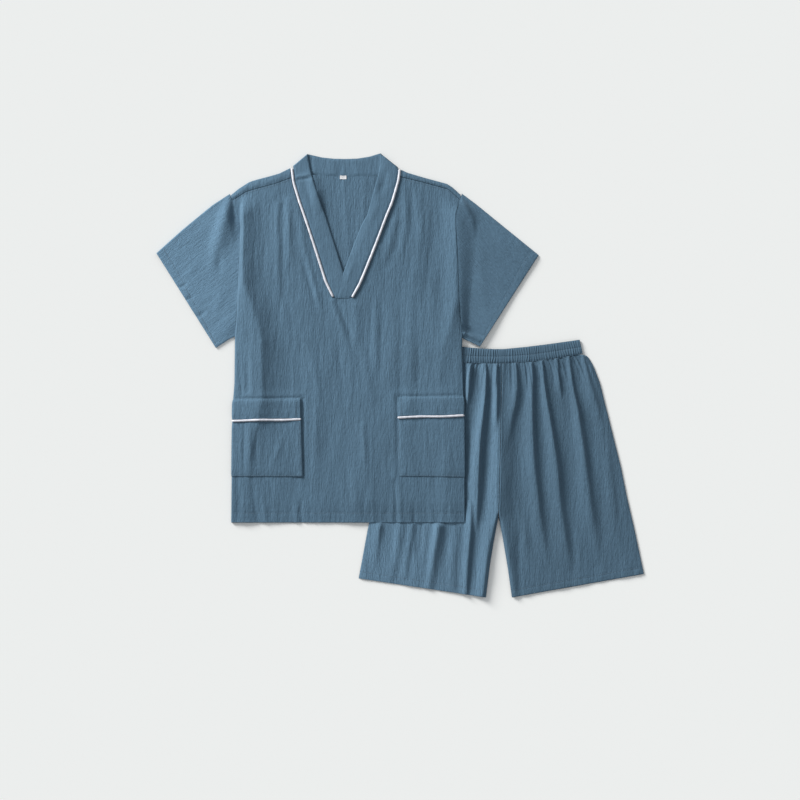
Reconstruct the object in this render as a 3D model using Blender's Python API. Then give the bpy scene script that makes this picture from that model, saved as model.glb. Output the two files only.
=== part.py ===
"""A short-sleeve top with a V neck band and two patch pockets, laid flat over the left half of a pair of
gathered shorts. Units: millimetres in the code, metres in the scene, +Z up, the floor at z = 0."""

import math

import bmesh
import bpy
import numpy as np
from mathutils import Vector

for old in list(bpy.data.objects):
    bpy.data.objects.remove(old, do_unlink=True)

# Driving sizes, mm
CLOTH = 1.2  # wall of a single cloth
BAND = 2.0  # wall of the doubled neck band and pocket cuffs
ELASTIC = 1.6  # wall of the waistband
RIB = 0.5  # how far a rib of the waistband stands out
RIBS = 56  # ribs across the front of the waistband
GAP = 0.3  # between two pieces at a seam
SEAM_CLEAR = 1.0  # between the front and the shoulder seam's drawn line
PIPE = 1.9  # radius of the piping
PILE = 7.0  # height of the shorts where the top lies on them
HEM_Y = -309.3  # hem of the top
V_Y = 163.0  # bottom of the neck opening
SHOULDER_Z = 4.5  # middle of the cloth at the shoulder seams
FIRST = CLOTH / 2  # middle of a cloth that lies on the floor
SECOND = CLOTH + GAP + CLOTH / 2  # middle of a cloth that lies on another

DENIM = (0.102, 0.168, 0.228, 1.0)
PIPING = (0.72, 0.72, 0.75, 1.0)
WHITE = (0.80, 0.80, 0.80, 1.0)

collection = bpy.data.collections.new("sauna_clothing_set")
bpy.context.scene.collection.children.link(collection)


# Outlines in plan, each from one end to the other
SHORTS_SIDE = [(384.4, 43.0), (393.8, 39.5), (405.7, 18.7), (419.4, -17.4), (425.7, -43.5), (438.3, -93.9),
               (450.9, -144.3), (463.5, -194.7), (476.1, -257.7), (490.8, -320.7), (511.4, -417.1)]
SHORTS_MIDDLE = 211.5
SHORTS_SIDE_LEFT = [(2 * SHORTS_MIDDLE - x, y) for x, y in SHORTS_SIDE[:-1]] + [(-87.4, -426.4)]
SHORTS_CROTCH = (205.8, -299.0)
SHORTS_HEM_RIGHT = (234.2, -466.4)
SHORTS_HEM_LEFT = (179.8, -466.4)
WAIST_TOP = [(45, 70), (87, 62), (131.5, 59), (164.6, 55.9), (194.7, 54.4), (216.9, 54.4), (265.2, 59),
             (315.4, 65.3), (376.7, 74.1)]
WAIST_BOTTOM = [(39.6, 45.4), (87.6, 33), (132.5, 26), (209, 25.8), (275.1, 28.8), (335.4, 37.8),
                (383.0, 46.4)]
TOP_SIDE_LEFT = [(-355.1, HEM_Y), (-353.4, -144.3), (-351.3, -56), (-348.2, -18.3), (-347.1, 81.7),
                 (-345.2, 125.8), (-343.9, V_Y)]
TOP_SIDE_RIGHT = [(135.9, HEM_Y), (133.8, -93.9), (130.6, 32.1), (129.4, 104), (125.2, V_Y)]
ARMHOLE_LEFT = [(-343.9, V_Y), (-340, 249.5), (-335.6, 311.4), (-337.5, 325), (-344.4, 342.3),
                (-351.8, 366)]
ARMHOLE_RIGHT = [(125.2, V_Y), (121.2, 264.6), (117.4, 325), (118.7, 338.7), (126.4, 366)]
NECK_PIPE_LEFT = [(-140.9, 164.4), (-156.7, 196.8), (-169.5, 237.5), (-183.3, 280.4), (-197.4, 323.2),
                  (-212.3, 366), (-224, 404.5), (-227.6, 434)]
NECK_PIPE_RIGHT = [(-101, 163.6), (-85.9, 190.3), (-74.1, 218.2), (-60.3, 252.4), (-45.2, 291.1),
                   (-29.2, 333.9), (-17.6, 361.6), (-11.6, 381.6), (-4, 408), (-1.1, 428.4), (-1.9, 432)]
SHOULDER_SEAM_LEFT = [(-352.4, 367.4), (-322.1, 386.4), (-303.9, 391.7), (-261, 403.4), (-230.2, 415.2)]
SHOULDER_SEAM_RIGHT = [(127, 367.4), (100.2, 391), (53, 404), (1.8, 417.3)]
SHOULDER_FOLD_LEFT = [(-358.6, 378.3), (-341.3, 391.6), (-318.8, 405.8), (-303.9, 410.6), (-273.8, 418.5),
                      (-255.6, 423.8), (-230.6, 436)]
SHOULDER_FOLD_RIGHT = [(130.4, 380.2), (112.0, 395.2), (100.4, 402.6), (83.2, 407.2), (53.1, 415.2), (15.8, 426.1),
                       (1.6, 432.8)]
BACK_NECK = [(-230.6, 435), (-206, 426.4), (-187.5, 421.0), (-150, 419.2), (-117, 419), (-80, 418.8),
             (-46.8, 419.2), (-20, 425.4), (1.6, 431.8)]


def smooth(t):
    t = min(max(t, 0.0), 1.0)
    return t * t * (3 - 2 * t)


def along(line, t):
    """The point at the share t of a line's length."""
    line = np.array(line, float)
    steps = np.hypot(*np.diff(line, axis=0).T)
    run = np.concatenate([[0], np.cumsum(steps)]) / steps.sum()
    return np.array([np.interp(t, run, line[:, 0]), np.interp(t, run, line[:, 1])])


def x_at(line, y):
    """Where a line that runs up or down crosses the height y."""
    line = sorted(line, key=lambda point: point[1])
    return float(np.interp(y, [point[1] for point in line], [point[0] for point in line]))


SHORTS_OUTLINE = (WAIST_TOP + SHORTS_SIDE + [SHORTS_HEM_RIGHT, SHORTS_CROTCH, SHORTS_HEM_LEFT]
                  + SHORTS_SIDE_LEFT[::-1])


def lift(x, y):
    """How far the shorts below push a cloth up at this place: all of PILE above them, less beside them."""
    inside = False
    nearest = 1e9
    for (ax, ay), (bx, by) in zip(SHORTS_OUTLINE, SHORTS_OUTLINE[1:] + SHORTS_OUTLINE[:1]):
        if (ay > y) != (by > y) and x < ax + (y - ay) * (bx - ax) / (by - ay):
            inside = not inside
        length = (bx - ax) ** 2 + (by - ay) ** 2
        t = min(max(((x - ax) * (bx - ax) + (y - ay) * (by - ay)) / length, 0), 1)
        nearest = min(nearest, math.hypot(x - ax - t * (bx - ax), y - ay - t * (by - ay)))
    return PILE if inside else PILE * smooth(1 - (nearest - 14) / 42)


def grid_faces(rows, closed=False):
    """Four-cornered faces between rows of keys. A closed row joins its last key to its first."""
    faces = []
    for low, high in zip(rows, rows[1:]):
        count = len(low) if closed else len(low) - 1
        for j in range(count):
            k = (j + 1) % len(low)
            faces.append((low[j], low[k], high[k], high[j]))
    return faces


def directions(points, faces):
    """For each point the way that moves all faces next to it out by one unit."""
    around = {key: [] for face in faces for key in face}
    for face in faces:
        a, b, c, d = (points[key] for key in face)
        normal = (c - a).cross(d - b).normalized()
        for key in face:
            around[key].append(normal)
    found = {}
    for key, normals in around.items():
        mean = sum(normals, Vector()).normalized()
        found[key] = mean / max(0.7, sum(mean.dot(normal) for normal in normals) / len(normals))
    return found


def finish(name, mesh, colour, roughness, angle):
    material = bpy.data.materials.new(name)
    material.use_nodes = True
    shader = material.node_tree.nodes["Principled BSDF"]
    shader.inputs["Base Color"].default_value = colour
    shader.inputs["Roughness"].default_value = roughness
    mesh.materials.append(material)
    mesh.shade_smooth()
    mesh.set_sharp_from_angle(angle=math.radians(angle))
    thing = bpy.data.objects.new(name, mesh)
    collection.objects.link(thing)
    return thing


def wall(name, points, faces, low, high, colour=DENIM, roughness=0.9, angle=50):
    """A closed wall on a sheet of points, from low to high along the sheet's own directions."""
    out = directions(points, faces)
    keys = list(out)
    build = bmesh.new()
    outer = {}
    inner = {}
    for key in keys:
        top = high[key] if isinstance(high, dict) else high
        outer[key] = build.verts.new((points[key] + out[key] * top) * 0.001)
        inner[key] = build.verts.new((points[key] + out[key] * low) * 0.001)
    sides = set()
    for face in faces:
        a, b, c, d = face
        for corner in ((a, b, c), (a, c, d)):
            build.faces.new([outer[key] for key in corner])
            build.faces.new([inner[key] for key in reversed(corner)])
        sides.update(((a, b), (b, c), (c, d), (d, a)))
    for a, b in sides:
        if (b, a) not in sides:
            build.faces.new([inner[a], inner[b], outer[b]])
            build.faces.new([inner[a], outer[b], outer[a]])
    mesh = bpy.data.meshes.new(name)
    build.to_mesh(mesh)
    build.free()
    return finish(name, mesh, colour, roughness, angle)


def bead(name, line, radius):
    """A round cord along a line, with closed ends."""
    curve = bpy.data.curves.new(name, "CURVE")
    curve.dimensions = "3D"
    curve.bevel_depth = radius * 0.001
    curve.bevel_resolution = 1
    curve.use_fill_caps = True
    spline = curve.splines.new("POLY")
    spline.points.add(len(line) - 1)
    for point, place in zip(spline.points, line):
        point.co = (*(place * 0.001), 1.0)
    thing = bpy.data.objects.new(name, curve)
    graph = bpy.context.evaluated_depsgraph_get()
    collection.objects.link(thing)
    graph.update()
    mesh = bpy.data.meshes.new_from_object(thing.evaluated_get(graph))
    bpy.data.objects.remove(thing)
    bpy.data.curves.remove(curve)
    build = bmesh.new()
    build.from_mesh(mesh)
    bmesh.ops.remove_doubles(build, verts=build.verts, dist=1e-6)
    bmesh.ops.recalc_face_normals(build, faces=build.faces)
    build.to_mesh(mesh)
    build.free()
    return finish(name, mesh, PIPING, 0.6, 50)


# The front of the top. Its columns are shares of the width, its rows heights at the left and right side.
FRONT_COLUMNS = [0, 0.004, 0.010, 0.022, 0.045, 0.075, 0.11, 0.155, 0.20, 0.25, 0.297, 0.34, 0.385, 0.4279,
                 0.475, 0.5227, 0.565, 0.61, 0.66, 0.7135, 0.76, 0.81, 0.86, 0.90, 0.935, 0.963, 0.982,
                 0.992, 0.997, 1]
POCKET_LEFT_END = FRONT_COLUMNS.index(0.297)
POCKET_RIGHT_START = FRONT_COLUMNS.index(0.7135)
V_LEFT = FRONT_COLUMNS.index(0.4279)
V_RIGHT = FRONT_COLUMNS.index(0.5227)
FRONT_ROWS = [(HEM_Y, HEM_Y), (-289, -289), (-262, -262), (-237, -237), (-212.8, -212.8), (-188, -186),
              (-163, -160), (-139, -134), (-116, -109), (-95.4, -84.8), (-72, -64), (-48.5, -42),
              (-15, -12), (20, 20), (52, 52), (82, 82), (110, 110), (137, 137), (V_Y - 0.6, V_Y - 0.6)]
POCKET_BOTTOM_ROW = 4
POCKET_PIPE_ROW = 9
POCKET_TOP_ROW = 11
LEG_ROWS = 9
# Height of the cloth over its seam, by the distance from the side
SIDE_LEFT = {"distance": [0, 2, 5, 9, 22, 34, 45, 56, 68, 80, 110, 400],
             "height": [0, 2.8, 3.8, 4.1, 4.0, 4.8, 6.0, 6.4, 4.6, 2.4, 1.8, 1.8]}
SIDE_RIGHT = {"distance": [0, 1.5, 4, 9, 22, 34, 46, 60, 72, 85, 105, 400],
              "height": [0, 2.6, 3.4, 3.6, 3.5, 4.6, 5.6, 5.9, 4.9, 3.4, 2.1, 1.8]}
# Single folds of the front: where each starts and ends, how wide and how high it is
FRONT_FOLDS = [
    {"start": (-150, 168), "end": (-120, 95), "width": 11, "height": 1.3},
    {"start": (-47, 140), "end": (-47, 55), "width": 12, "height": 1.1},
    {"start": (-8, -214), "end": (-9, -309), "width": 10, "height": 1.6},
    {"start": (-205, -214), "end": (-196, -309), "width": 12, "height": 1.2},
    {"start": (-300, 330), "end": (-262, 120), "width": 18, "height": -0.8},
    {"start": (75, 330), "end": (60, 90), "width": 22, "height": 1.0},
    {"start": (-318, -230), "end": (-342, -309), "width": 14, "height": -1.2},
]


def fold_height(folds, x, y):
    total = 0.0
    for fold in folds:
        (ax, ay), (bx, by) = fold["start"], fold["end"]
        length = (bx - ax) ** 2 + (by - ay) ** 2
        t = min(max(((x - ax) * (bx - ax) + (y - ay) * (by - ay)) / length, 0), 1)
        away = math.hypot(x - ax - t * (bx - ax), y - ay - t * (by - ay))
        total += fold["height"] * math.exp(-((away / fold["width"]) ** 2))
    return total


def front_height(x, y, left, right):
    """Middle of the front's cloth over the back, left and right being the sides at this height."""
    near_left = float(np.interp(x - left, SIDE_LEFT["distance"], SIDE_LEFT["height"]))
    near_right = float(np.interp(right - x, SIDE_RIGHT["distance"], SIDE_RIGHT["height"]))
    near = min(near_left, near_right) if min(x - left, right - x) < 12 else max(near_left, near_right)
    edge = 2.6 * smooth((y - 35) / 38)
    inner = smooth(min(x - left, right - x) / 30)
    return SECOND + edge * (1 - 0.55 * inner) + near * (1 - 0.12 * edge) + fold_height(FRONT_FOLDS, x, y) * inner


front = {}
base_rows = []
for i, (left_y, right_y) in enumerate(FRONT_ROWS):
    left_x = x_at(TOP_SIDE_LEFT, left_y)
    right_x = x_at(TOP_SIDE_RIGHT, right_y)
    keys = []
    for j, share in enumerate(FRONT_COLUMNS):
        x = left_x + (right_x - left_x) * share
        y = left_y + (right_y - left_y) * share
        front["base", i, j] = Vector((x, y, lift(x, y) + front_height(x, y, left_x, right_x)))
        keys.append(("base", i, j))
    base_rows.append(keys)


def shoulder_part(tag, columns, outer_line, inner_line, seam, inner_shift, sign):
    """Rows of the front from the bottom of the neck opening up to a shoulder seam."""
    bottom = [front[key] for key in columns]
    shares = np.array([point.x for point in bottom])
    shares = (shares - shares[0]) / (shares[-1] - shares[0])
    rows = [columns]
    for i in range(1, LEG_ROWS + 1):
        v = i / LEG_ROWS
        outer = along(outer_line, v)
        inner = along(inner_line, v * 0.937) + (inner_shift, 0)
        meet = along(seam, 1 if sign > 0 else 0) - (0, SEAM_CLEAR)
        inner = inner + v * (meet - along(inner_line, 0.937) - (inner_shift, 0))
        if tag == "left":
            first, last = outer, inner
        else:
            first, last = inner, outer
        keys = []
        for j, u in enumerate(shares):
            low = np.array(bottom[j].xy)
            high = along(seam, u) - (0, SEAM_CLEAR)
            corner = [np.array(bottom[0].xy), np.array(bottom[-1].xy), along(seam, 0) - (0, SEAM_CLEAR),
                      along(seam, 1) - (0, SEAM_CLEAR)]
            place = ((1 - v) * low + v * high + (1 - u) * first + u * last
                     - (1 - u) * (1 - v) * corner[0] - u * (1 - v) * corner[1]
                     - (1 - u) * v * corner[2] - u * v * corner[3])
            left = outer[0] if sign > 0 else -999
            right = 999 if sign > 0 else outer[0]
            height = front_height(place[0], place[1], left, right)
            height += (SHOULDER_Z - height) * smooth((v - 0.72) / 0.28)
            key = (tag, i, j)
            front[key] = Vector((place[0], place[1], height + lift(*place)))
            keys.append(key)
        rows.append(keys)
    return rows


left_rows = shoulder_part("left", base_rows[-1][:V_LEFT + 1], ARMHOLE_LEFT, NECK_PIPE_LEFT,
                          SHOULDER_SEAM_LEFT, -(PIPE + GAP + 0.8), 1)
right_rows = shoulder_part("right", base_rows[-1][V_RIGHT:], ARMHOLE_RIGHT, NECK_PIPE_RIGHT,
                           SHOULDER_SEAM_RIGHT[::-1], PIPE + GAP + 0.8, -1)
front_faces = grid_faces(base_rows) + grid_faces(left_rows) + grid_faces(right_rows)
wall("top_front", front, front_faces, -CLOTH / 2, CLOTH / 2)
front_out = directions(front, front_faces)

# The back: the front's columns without the finest ones at the sides, then on to the fold of the shoulders
# and round it to the shoulder seams.
BACK_COLUMNS = [0] + list(range(4, len(FRONT_COLUMNS) - 4)) + [len(FRONT_COLUMNS) - 1]
NECK_FROM = BACK_COLUMNS.index(POCKET_LEFT_END)
NECK_TO = BACK_COLUMNS.index(POCKET_RIGHT_START)
BACK_TOP_ROWS = 5
TURN = (SHOULDER_Z - FIRST) / 2  # radius of the roll at the shoulders

back = {}
back_rows = []
for i, keys in enumerate(base_rows):
    row = []
    for j, column in enumerate(BACK_COLUMNS):
        x, y = front[keys[column]].xy
        side = (j == 0) - (j == len(BACK_COLUMNS) - 1)
        x += side * (0.6 + 2.6 * smooth((y - 35) / 38))
        back[i, j] = Vector((x, y, FIRST + lift(x, y)))
        row.append((i, j))
    back_rows.append(row)


def back_top(j):
    """Where a column of the back ends at the fold of a shoulder or at the neck, and its share there."""
    columns = [FRONT_COLUMNS[column] for column in BACK_COLUMNS]
    if j <= NECK_FROM:
        return along(SHOULDER_FOLD_LEFT, columns[j] / columns[NECK_FROM])
    if j >= NECK_TO:
        return along(SHOULDER_FOLD_RIGHT, (1 - columns[j]) / (1 - columns[NECK_TO]))
    return along(BACK_NECK, (columns[j] - columns[NECK_FROM]) / (columns[NECK_TO] - columns[NECK_FROM]))


last_base = len(base_rows) - 1
last_column = len(BACK_COLUMNS) - 1
left_edge = [(x + 3.2, y) for x, y in ARMHOLE_LEFT] + [(-355.2, 377.0)]
right_edge = [(x - 3.2, y) for x, y in ARMHOLE_RIGHT] + [(126.2, 378.2)]
for i in range(1, BACK_TOP_ROWS + 1):
    v = i / BACK_TOP_ROWS
    row = []
    for j in range(len(BACK_COLUMNS)):
        low = np.array(back[last_base, j].xy)
        high = back_top(j)
        if j <= NECK_FROM or j >= NECK_TO:
            high = high - (0, TURN)
        if j == 0:
            high = np.array((-355.2, 377.0 - TURN))
        if j == last_column:
            high = np.array((126.2, 378.2 - TURN))
        place = low * (1 - v) + high * v
        share = FRONT_COLUMNS[BACK_COLUMNS[j]]
        bow_left = along(left_edge, v) - (np.array(back[last_base, 0].xy) * (1 - v) + np.array((-355.2, 377.0)) * v)
        bow_right = along(right_edge, v) - (np.array(back[last_base, last_column].xy) * (1 - v)
                                            + np.array((126.2, 378.2)) * v)
        place = place + bow_left * max(0, 1 - share / 0.3) + bow_right * max(0, 1 - (1 - share) / 0.3)
        key = (last_base + i, j)
        back[key] = Vector((place[0], place[1], FIRST))
        row.append(key)
    back_rows.append(row)
back_faces = grid_faces(back_rows)

for tag, columns, seam in (("left", range(NECK_FROM + 1), SHOULDER_SEAM_LEFT),
                           ("right", range(NECK_TO, last_column + 1), SHOULDER_SEAM_RIGHT[::-1])):
    columns = list(columns)
    edge = [back[back_rows[-1][j]] for j in columns]
    shares = np.array([point.x for point in edge])
    shares = (shares - shares[0]) / (shares[-1] - shares[0])
    rows = [[back_rows[-1][j] for j in columns]]
    for step, angle in enumerate((-45, 0, 45, 90)):
        keys = []
        for n, j in enumerate(columns):
            start = edge[n]
            turn = math.radians(angle)
            key = (tag, "turn", step, j)
            back[key] = Vector((start.x, start.y + TURN * math.cos(turn),
                                FIRST + TURN + TURN * math.sin(turn)))
            keys.append(key)
        rows.append(keys)
    for step, share in enumerate((0.5, 1.0)):
        keys = []
        for n, j in enumerate(columns):
            start = np.array(edge[n].xy)
            end = along(seam, shares[n]) + (0, GAP / 2)
            place = start * (1 - share) + end * share
            key = (tag, "forward", step, j)
            back[key] = Vector((place[0], place[1], SHOULDER_Z))
            keys.append(key)
        rows.append(keys)
    back_faces += grid_faces(rows)
# The rolled shoulders are seen from the other side of the cloth, so the sheet's outside is its underside.
wall("top_back", back, [face[::-1] for face in back_faces], -CLOTH / 2, CLOTH / 2)


# Sleeves: flattened tubes. Shares from the upper fold to the lower one, over the top and back below.
TUBE_TOP = [0, 0.0025, 0.009, 0.03, 0.09, 0.18, 0.30, 0.44, 0.58, 0.72, 0.84, 0.93, 0.978, 0.991, 0.9975, 1]
TUBE_BELOW = [0.9975, 0.991, 0.85, 0.6, 0.35, 0.12, 0.009, 0.0025]
TUBE_PUFF = {"share": [0, 0.03, 0.09, 0.18, 0.30, 0.6, 0.93, 0.99, 1],
             "height": [0, 0.55, 0.95, 1.0, 0.72, 0.55, 0.45, 0.1, 0]}
SLEEVE_STATIONS = [0, 0.06, 0.17, 0.3, 0.45, 0.6, 0.76, 0.9, 1]
SLEEVE_ROOT_TOP = 2.7


def sleeve(name, root, cuff, upper, lower, over_shorts, flip):
    points = {}
    rows = []
    for i, u in enumerate(SLEEVE_STATIONS):
        keys = []
        for j, share in enumerate(TUBE_TOP + TUBE_BELOW):
            above = j < len(TUBE_TOP)
            up = along(upper, u)
            down = along(lower, u)
            start = along(root, share)
            end = along(cuff, share)
            place = ((1 - u) * start + u * end + (1 - share) * up + share * down
                     - (1 - u) * (1 - share) * along(root, 0) - u * (1 - share) * along(cuff, 0)
                     - (1 - u) * share * along(root, 1) - u * share * along(cuff, 1))
            puff = 2.7 * smooth(u / 0.3) * (1 - 0.5 * u)
            roof = SLEEVE_ROOT_TOP + puff * float(np.interp(share, TUBE_PUFF["share"], TUBE_PUFF["height"]))
            middle = (FIRST + roof) / 2
            away = min(share, 1 - share) / 0.009
            swell = math.sqrt(max(0.0, 1 - (1 - min(away, 1)) ** 2))
            z = middle + (roof - middle) * swell if above else middle - (middle - FIRST) * swell
            points[i, j] = Vector((place[0], place[1], z + lift(*place) * over_shorts))
            keys.append((i, j))
        rows.append(keys)
    faces = grid_faces(rows, closed=True)
    if flip:
        faces = [face[::-1] for face in faces]
    wall(name, points, faces, -CLOTH / 2, CLOTH / 2)


root_left = [(-358.0, 380.6), (-351.0, 365), (-343, 342.3), (-336.2, 325), (-334.4, 311.4), (-338.7, 249.5),
             (-342.4, 163), (-344.2, 125.8), (-346, 81.7)]
root_right = [(129.4, 381.2), (125.4, 367), (117.2, 338.7), (116.1, 325), (119.8, 264.6), (123.8, 163), (128, 104),
              (129.6, 78)]
sleeve("sleeve_left", root_left, [(-511.4, 256.4), (-386.6, 57.9)],
       [(-358.0, 380.6), (-393.3, 357.0), (-427.0, 329.6), (-460.5, 302.0), (-511.4, 256.4)],
       [(-346, 81.7), (-358.6, 76.0), (-386.6, 57.9)], 0.0, True)
sleeve("sleeve_right", root_right, [(290, 252.6), (166.6, 60.5)],
       [(129.4, 381.2), (156.9, 360.6), (290, 252.6)], [(129.6, 78), (166.6, 60.5)], 0.8, False)

# The neck band: one doubled strip, up the left front, round the back of the neck and down the right front.
BAND_ACROSS = 4
BAND_LEFT = {
    "outer": [(-138.2, 163.5), (-154.0, 196.8), (-166.8, 237.5), (-180.6, 280.4), (-194.7, 323.2),
              (-209.6, 366), (-221.2, 404.5), (-224.6, 438.5)],
    "inner": [(-104.2, 163.5), (-111.5, 190), (-119.3, 215.3), (-157.7, 336), (-165.5, 355.5),
              (-178.5, 394.8), (-186.5, 420.8), (-189.8, 433.9), (-194.7, 464)],
    "height": {"share": [0, 0.25, 0.6, 1], "z": [3.2, 3.3, 3.9, 4.4]}}
BAND_RIGHT = {
    "outer": [(-103.8, 163.5), (-88.7, 190.3), (-76.9, 218.2), (-63.1, 252.4), (-48.0, 291.1),
              (-32.0, 333.9), (-20.4, 361.6), (-14.4, 381.6), (-6.8, 408), (-4.2, 428.4), (-5.4, 436)],
    "inner": [(-138.4, 163.5), (-127.1, 194.3), (-119.3, 214.8), (-103.1, 258.9), (-81.7, 314.6),
              (-69.1, 336.6), (-62.2, 361.6), (-55.2, 387.7), (-46.4, 419.2), (-42.8, 440), (-42.2, 465.4)],
    "height": {"share": [0, 0.3, 0.5, 1], "z": [5.8, 5.8, 4.7, 4.4]}}
BAND_STAND = {
    "seam": [(-224.6, 438.5), (-206, 430), (-187.5, 423.4), (-150, 421), (-117, 420.8), (-80, 420.6),
             (-46.8, 421.4), (-20, 429.3), (-5.4, 436)],
    "edge": [(-194.7, 464), (-165, 457), (-140, 454.4), (-116, 453.8), (-90, 454.6), (-65, 458.5),
             (-42.2, 465.4)]}
STAND_Z = BAND / 2
BAND_TURN = (4.4 - STAND_Z) / 2


def band_section(outer, inner, z):
    return [Vector((*(outer * (1 - c / BAND_ACROSS) + inner * (c / BAND_ACROSS)), z))
            for c in range(BAND_ACROSS + 1)]


def band_turn(outer, inner, angles):
    """Sections of the strip round the fold at a shoulder, the fold's outside on the drawn line."""
    fold = (inner - outer) / np.hypot(*(inner - outer))
    way = np.array((-fold[1], fold[0]))
    if way[1] < 0:
        way = -way
    sections = []
    for angle in angles:
        turn = math.radians(angle)
        shift = way * BAND_TURN * (math.cos(turn) - 1)
        z = STAND_Z + BAND_TURN + BAND_TURN * math.sin(turn)
        sections.append(band_section(outer + shift, inner + shift, z))
    return sections


sections = []
for i in range(12):
    t = i / 12
    z = float(np.interp(t, BAND_LEFT["height"]["share"], BAND_LEFT["height"]["z"]))
    sections.append(band_section(along(BAND_LEFT["outer"], t), along(BAND_LEFT["inner"], t), z))
sections += band_turn(along(BAND_LEFT["outer"], 1), along(BAND_LEFT["inner"], 1), (90, 45, 0, -45, -90))
for i in range(1, 10):
    t = i / 10
    sections.append(band_section(along(BAND_STAND["seam"], t), along(BAND_STAND["edge"], t), STAND_Z))
sections += band_turn(along(BAND_RIGHT["outer"], 1), along(BAND_RIGHT["inner"], 1), (-90, -45, 0, 45, 90))
for i in range(13, -1, -1):
    t = i / 14
    z = float(np.interp(t, BAND_RIGHT["height"]["share"], BAND_RIGHT["height"]["z"]))
    sections.append(band_section(along(BAND_RIGHT["outer"], t), along(BAND_RIGHT["inner"], t), z))
band = {(i, c): point for i, section in enumerate(sections) for c, point in enumerate(section)}
band_rows = [[(i, c) for c in range(BAND_ACROSS + 1)] for i in range(len(sections))]
wall("collar_band", band, grid_faces(band_rows), -BAND / 2, BAND / 2)

for name, line, heights in (("neck_piping_left", NECK_PIPE_LEFT, (4.0, 4.6)),
                            ("neck_piping_right", NECK_PIPE_RIGHT, (5.2, 4.7))):
    places = []
    for i in range(15):
        x, y = along(line, i / 14)
        places.append(Vector((x, y, heights[0] + (heights[1] - heights[0]) * i / 14)))
    bead(name, places, PIPE)

label = {(i, j): Vector((-126.6 + 13.4 * j / 2, 412 + 7.0 * i, CLOTH + GAP + 0.5))
         for i in range(2) for j in range(3)}
wall("size_label", label, grid_faces([[(i, j) for j in range(3)] for i in range(2)]), -0.5, 0.5, WHITE, 0.7)


# Pockets: on the front's own points, moved out.
def between(row, other, column, distance):
    """A point of the front and its way out, this far from one row towards another."""
    a = front["base", row, column]
    b = front["base", other, column]
    t = distance / (b - a).length
    way = front_out["base", row, column].lerp(front_out["base", other, column], t)
    return a.lerp(b, t), way


def pocket(side, first, last):
    columns = list(range(first, last + 1))
    seat = CLOTH / 2 + GAP
    body = {}
    cuff = {}
    pipe = []
    clear = PIPE + GAP
    for j in columns:
        for i in range(POCKET_BOTTOM_ROW, POCKET_PIPE_ROW):
            body[i, j] = (front["base", i, j], front_out["base", i, j])
        body[POCKET_PIPE_ROW, j] = between(POCKET_PIPE_ROW, POCKET_PIPE_ROW - 1, j, clear)
        cuff[POCKET_PIPE_ROW, j] = between(POCKET_PIPE_ROW, POCKET_PIPE_ROW + 1, j, clear)
        for i in range(POCKET_PIPE_ROW + 1, POCKET_TOP_ROW + 1):
            cuff[i, j] = (front["base", i, j], front_out["base", i, j])
        way = front_out["base", POCKET_PIPE_ROW, j]
        pipe.append(front["base", POCKET_PIPE_ROW, j] + way * (seat + PIPE))
    for name, points, thickness in ((f"pocket_body_{side}", body, CLOTH), (f"pocket_cuff_{side}", cuff, BAND)):
        placed = {key: point + way * (seat + thickness / 2) for key, (point, way) in points.items()}
        levels = sorted({key[0] for key in placed})
        wall(name, placed, grid_faces([[(i, j) for j in columns] for i in levels]), -thickness / 2,
             thickness / 2)
    bead(f"pocket_piping_{side}", pipe, PIPE)


pocket("left", 1, POCKET_LEFT_END)
pocket("right", POCKET_RIGHT_START, len(FRONT_COLUMNS) - 3)

# The shorts. A leg's columns are shares from the middle seam to the side; its gathers hang from the waistband.
GATHERS = [
    {"share": 0.155, "drift": 0.01, "depth": 4.6, "width": 0.030, "length": 0.32},
    {"share": 0.225, "drift": 0.00, "depth": 2.6, "width": 0.022, "length": 0.12},
    {"share": 0.310, "drift": 0.03, "depth": 4.6, "width": 0.030, "length": 0.62},
    {"share": 0.440, "drift": 0.06, "depth": 4.4, "width": 0.030, "length": 0.72},
    {"share": 0.530, "drift": 0.02, "depth": 2.8, "width": 0.025, "length": 0.12},
    {"share": 0.625, "drift": 0.03, "depth": 3.6, "width": 0.030, "length": 0.34},
    {"share": 0.715, "drift": 0.07, "depth": 4.2, "width": 0.032, "length": 0.45},
    {"share": 0.870, "drift": 0.00, "depth": 3.4, "width": 0.035, "length": 0.25},
]
LEG_COLUMNS = [0, 0.03, 0.085, 0.13, 0.158, 0.19, 0.225, 0.265, 0.312, 0.355, 0.395, 0.443, 0.485, 0.53,
               0.57, 0.628, 0.67, 0.72, 0.79, 0.87, 0.925, 0.965, 0.988, 1]
LEG_SHARES = [0, 0.05, 0.16, 0.29, 0.42, 0.54, 0.65, 0.74, 0.81, 0.87, 0.92, 0.965, 1]
LEG_FOLDS = [
    {"start": (312, -220), "end": (352, -366), "width": 15, "height": 2.0},
    {"start": (268, -220), "end": (314, -387), "width": 13, "height": 1.6},
    {"start": (372, -220), "end": (400, -328), "width": 18, "height": 1.5},
    {"start": (240, -220), "end": (262, -400), "width": 16, "height": -1.2},
    {"start": (75, -311), "end": (54, -433), "width": 12, "height": 1.6},
    {"start": (102, -311), "end": (82, -424), "width": 10, "height": -1.2},
]
SEAM_Z = 4.6


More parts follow.
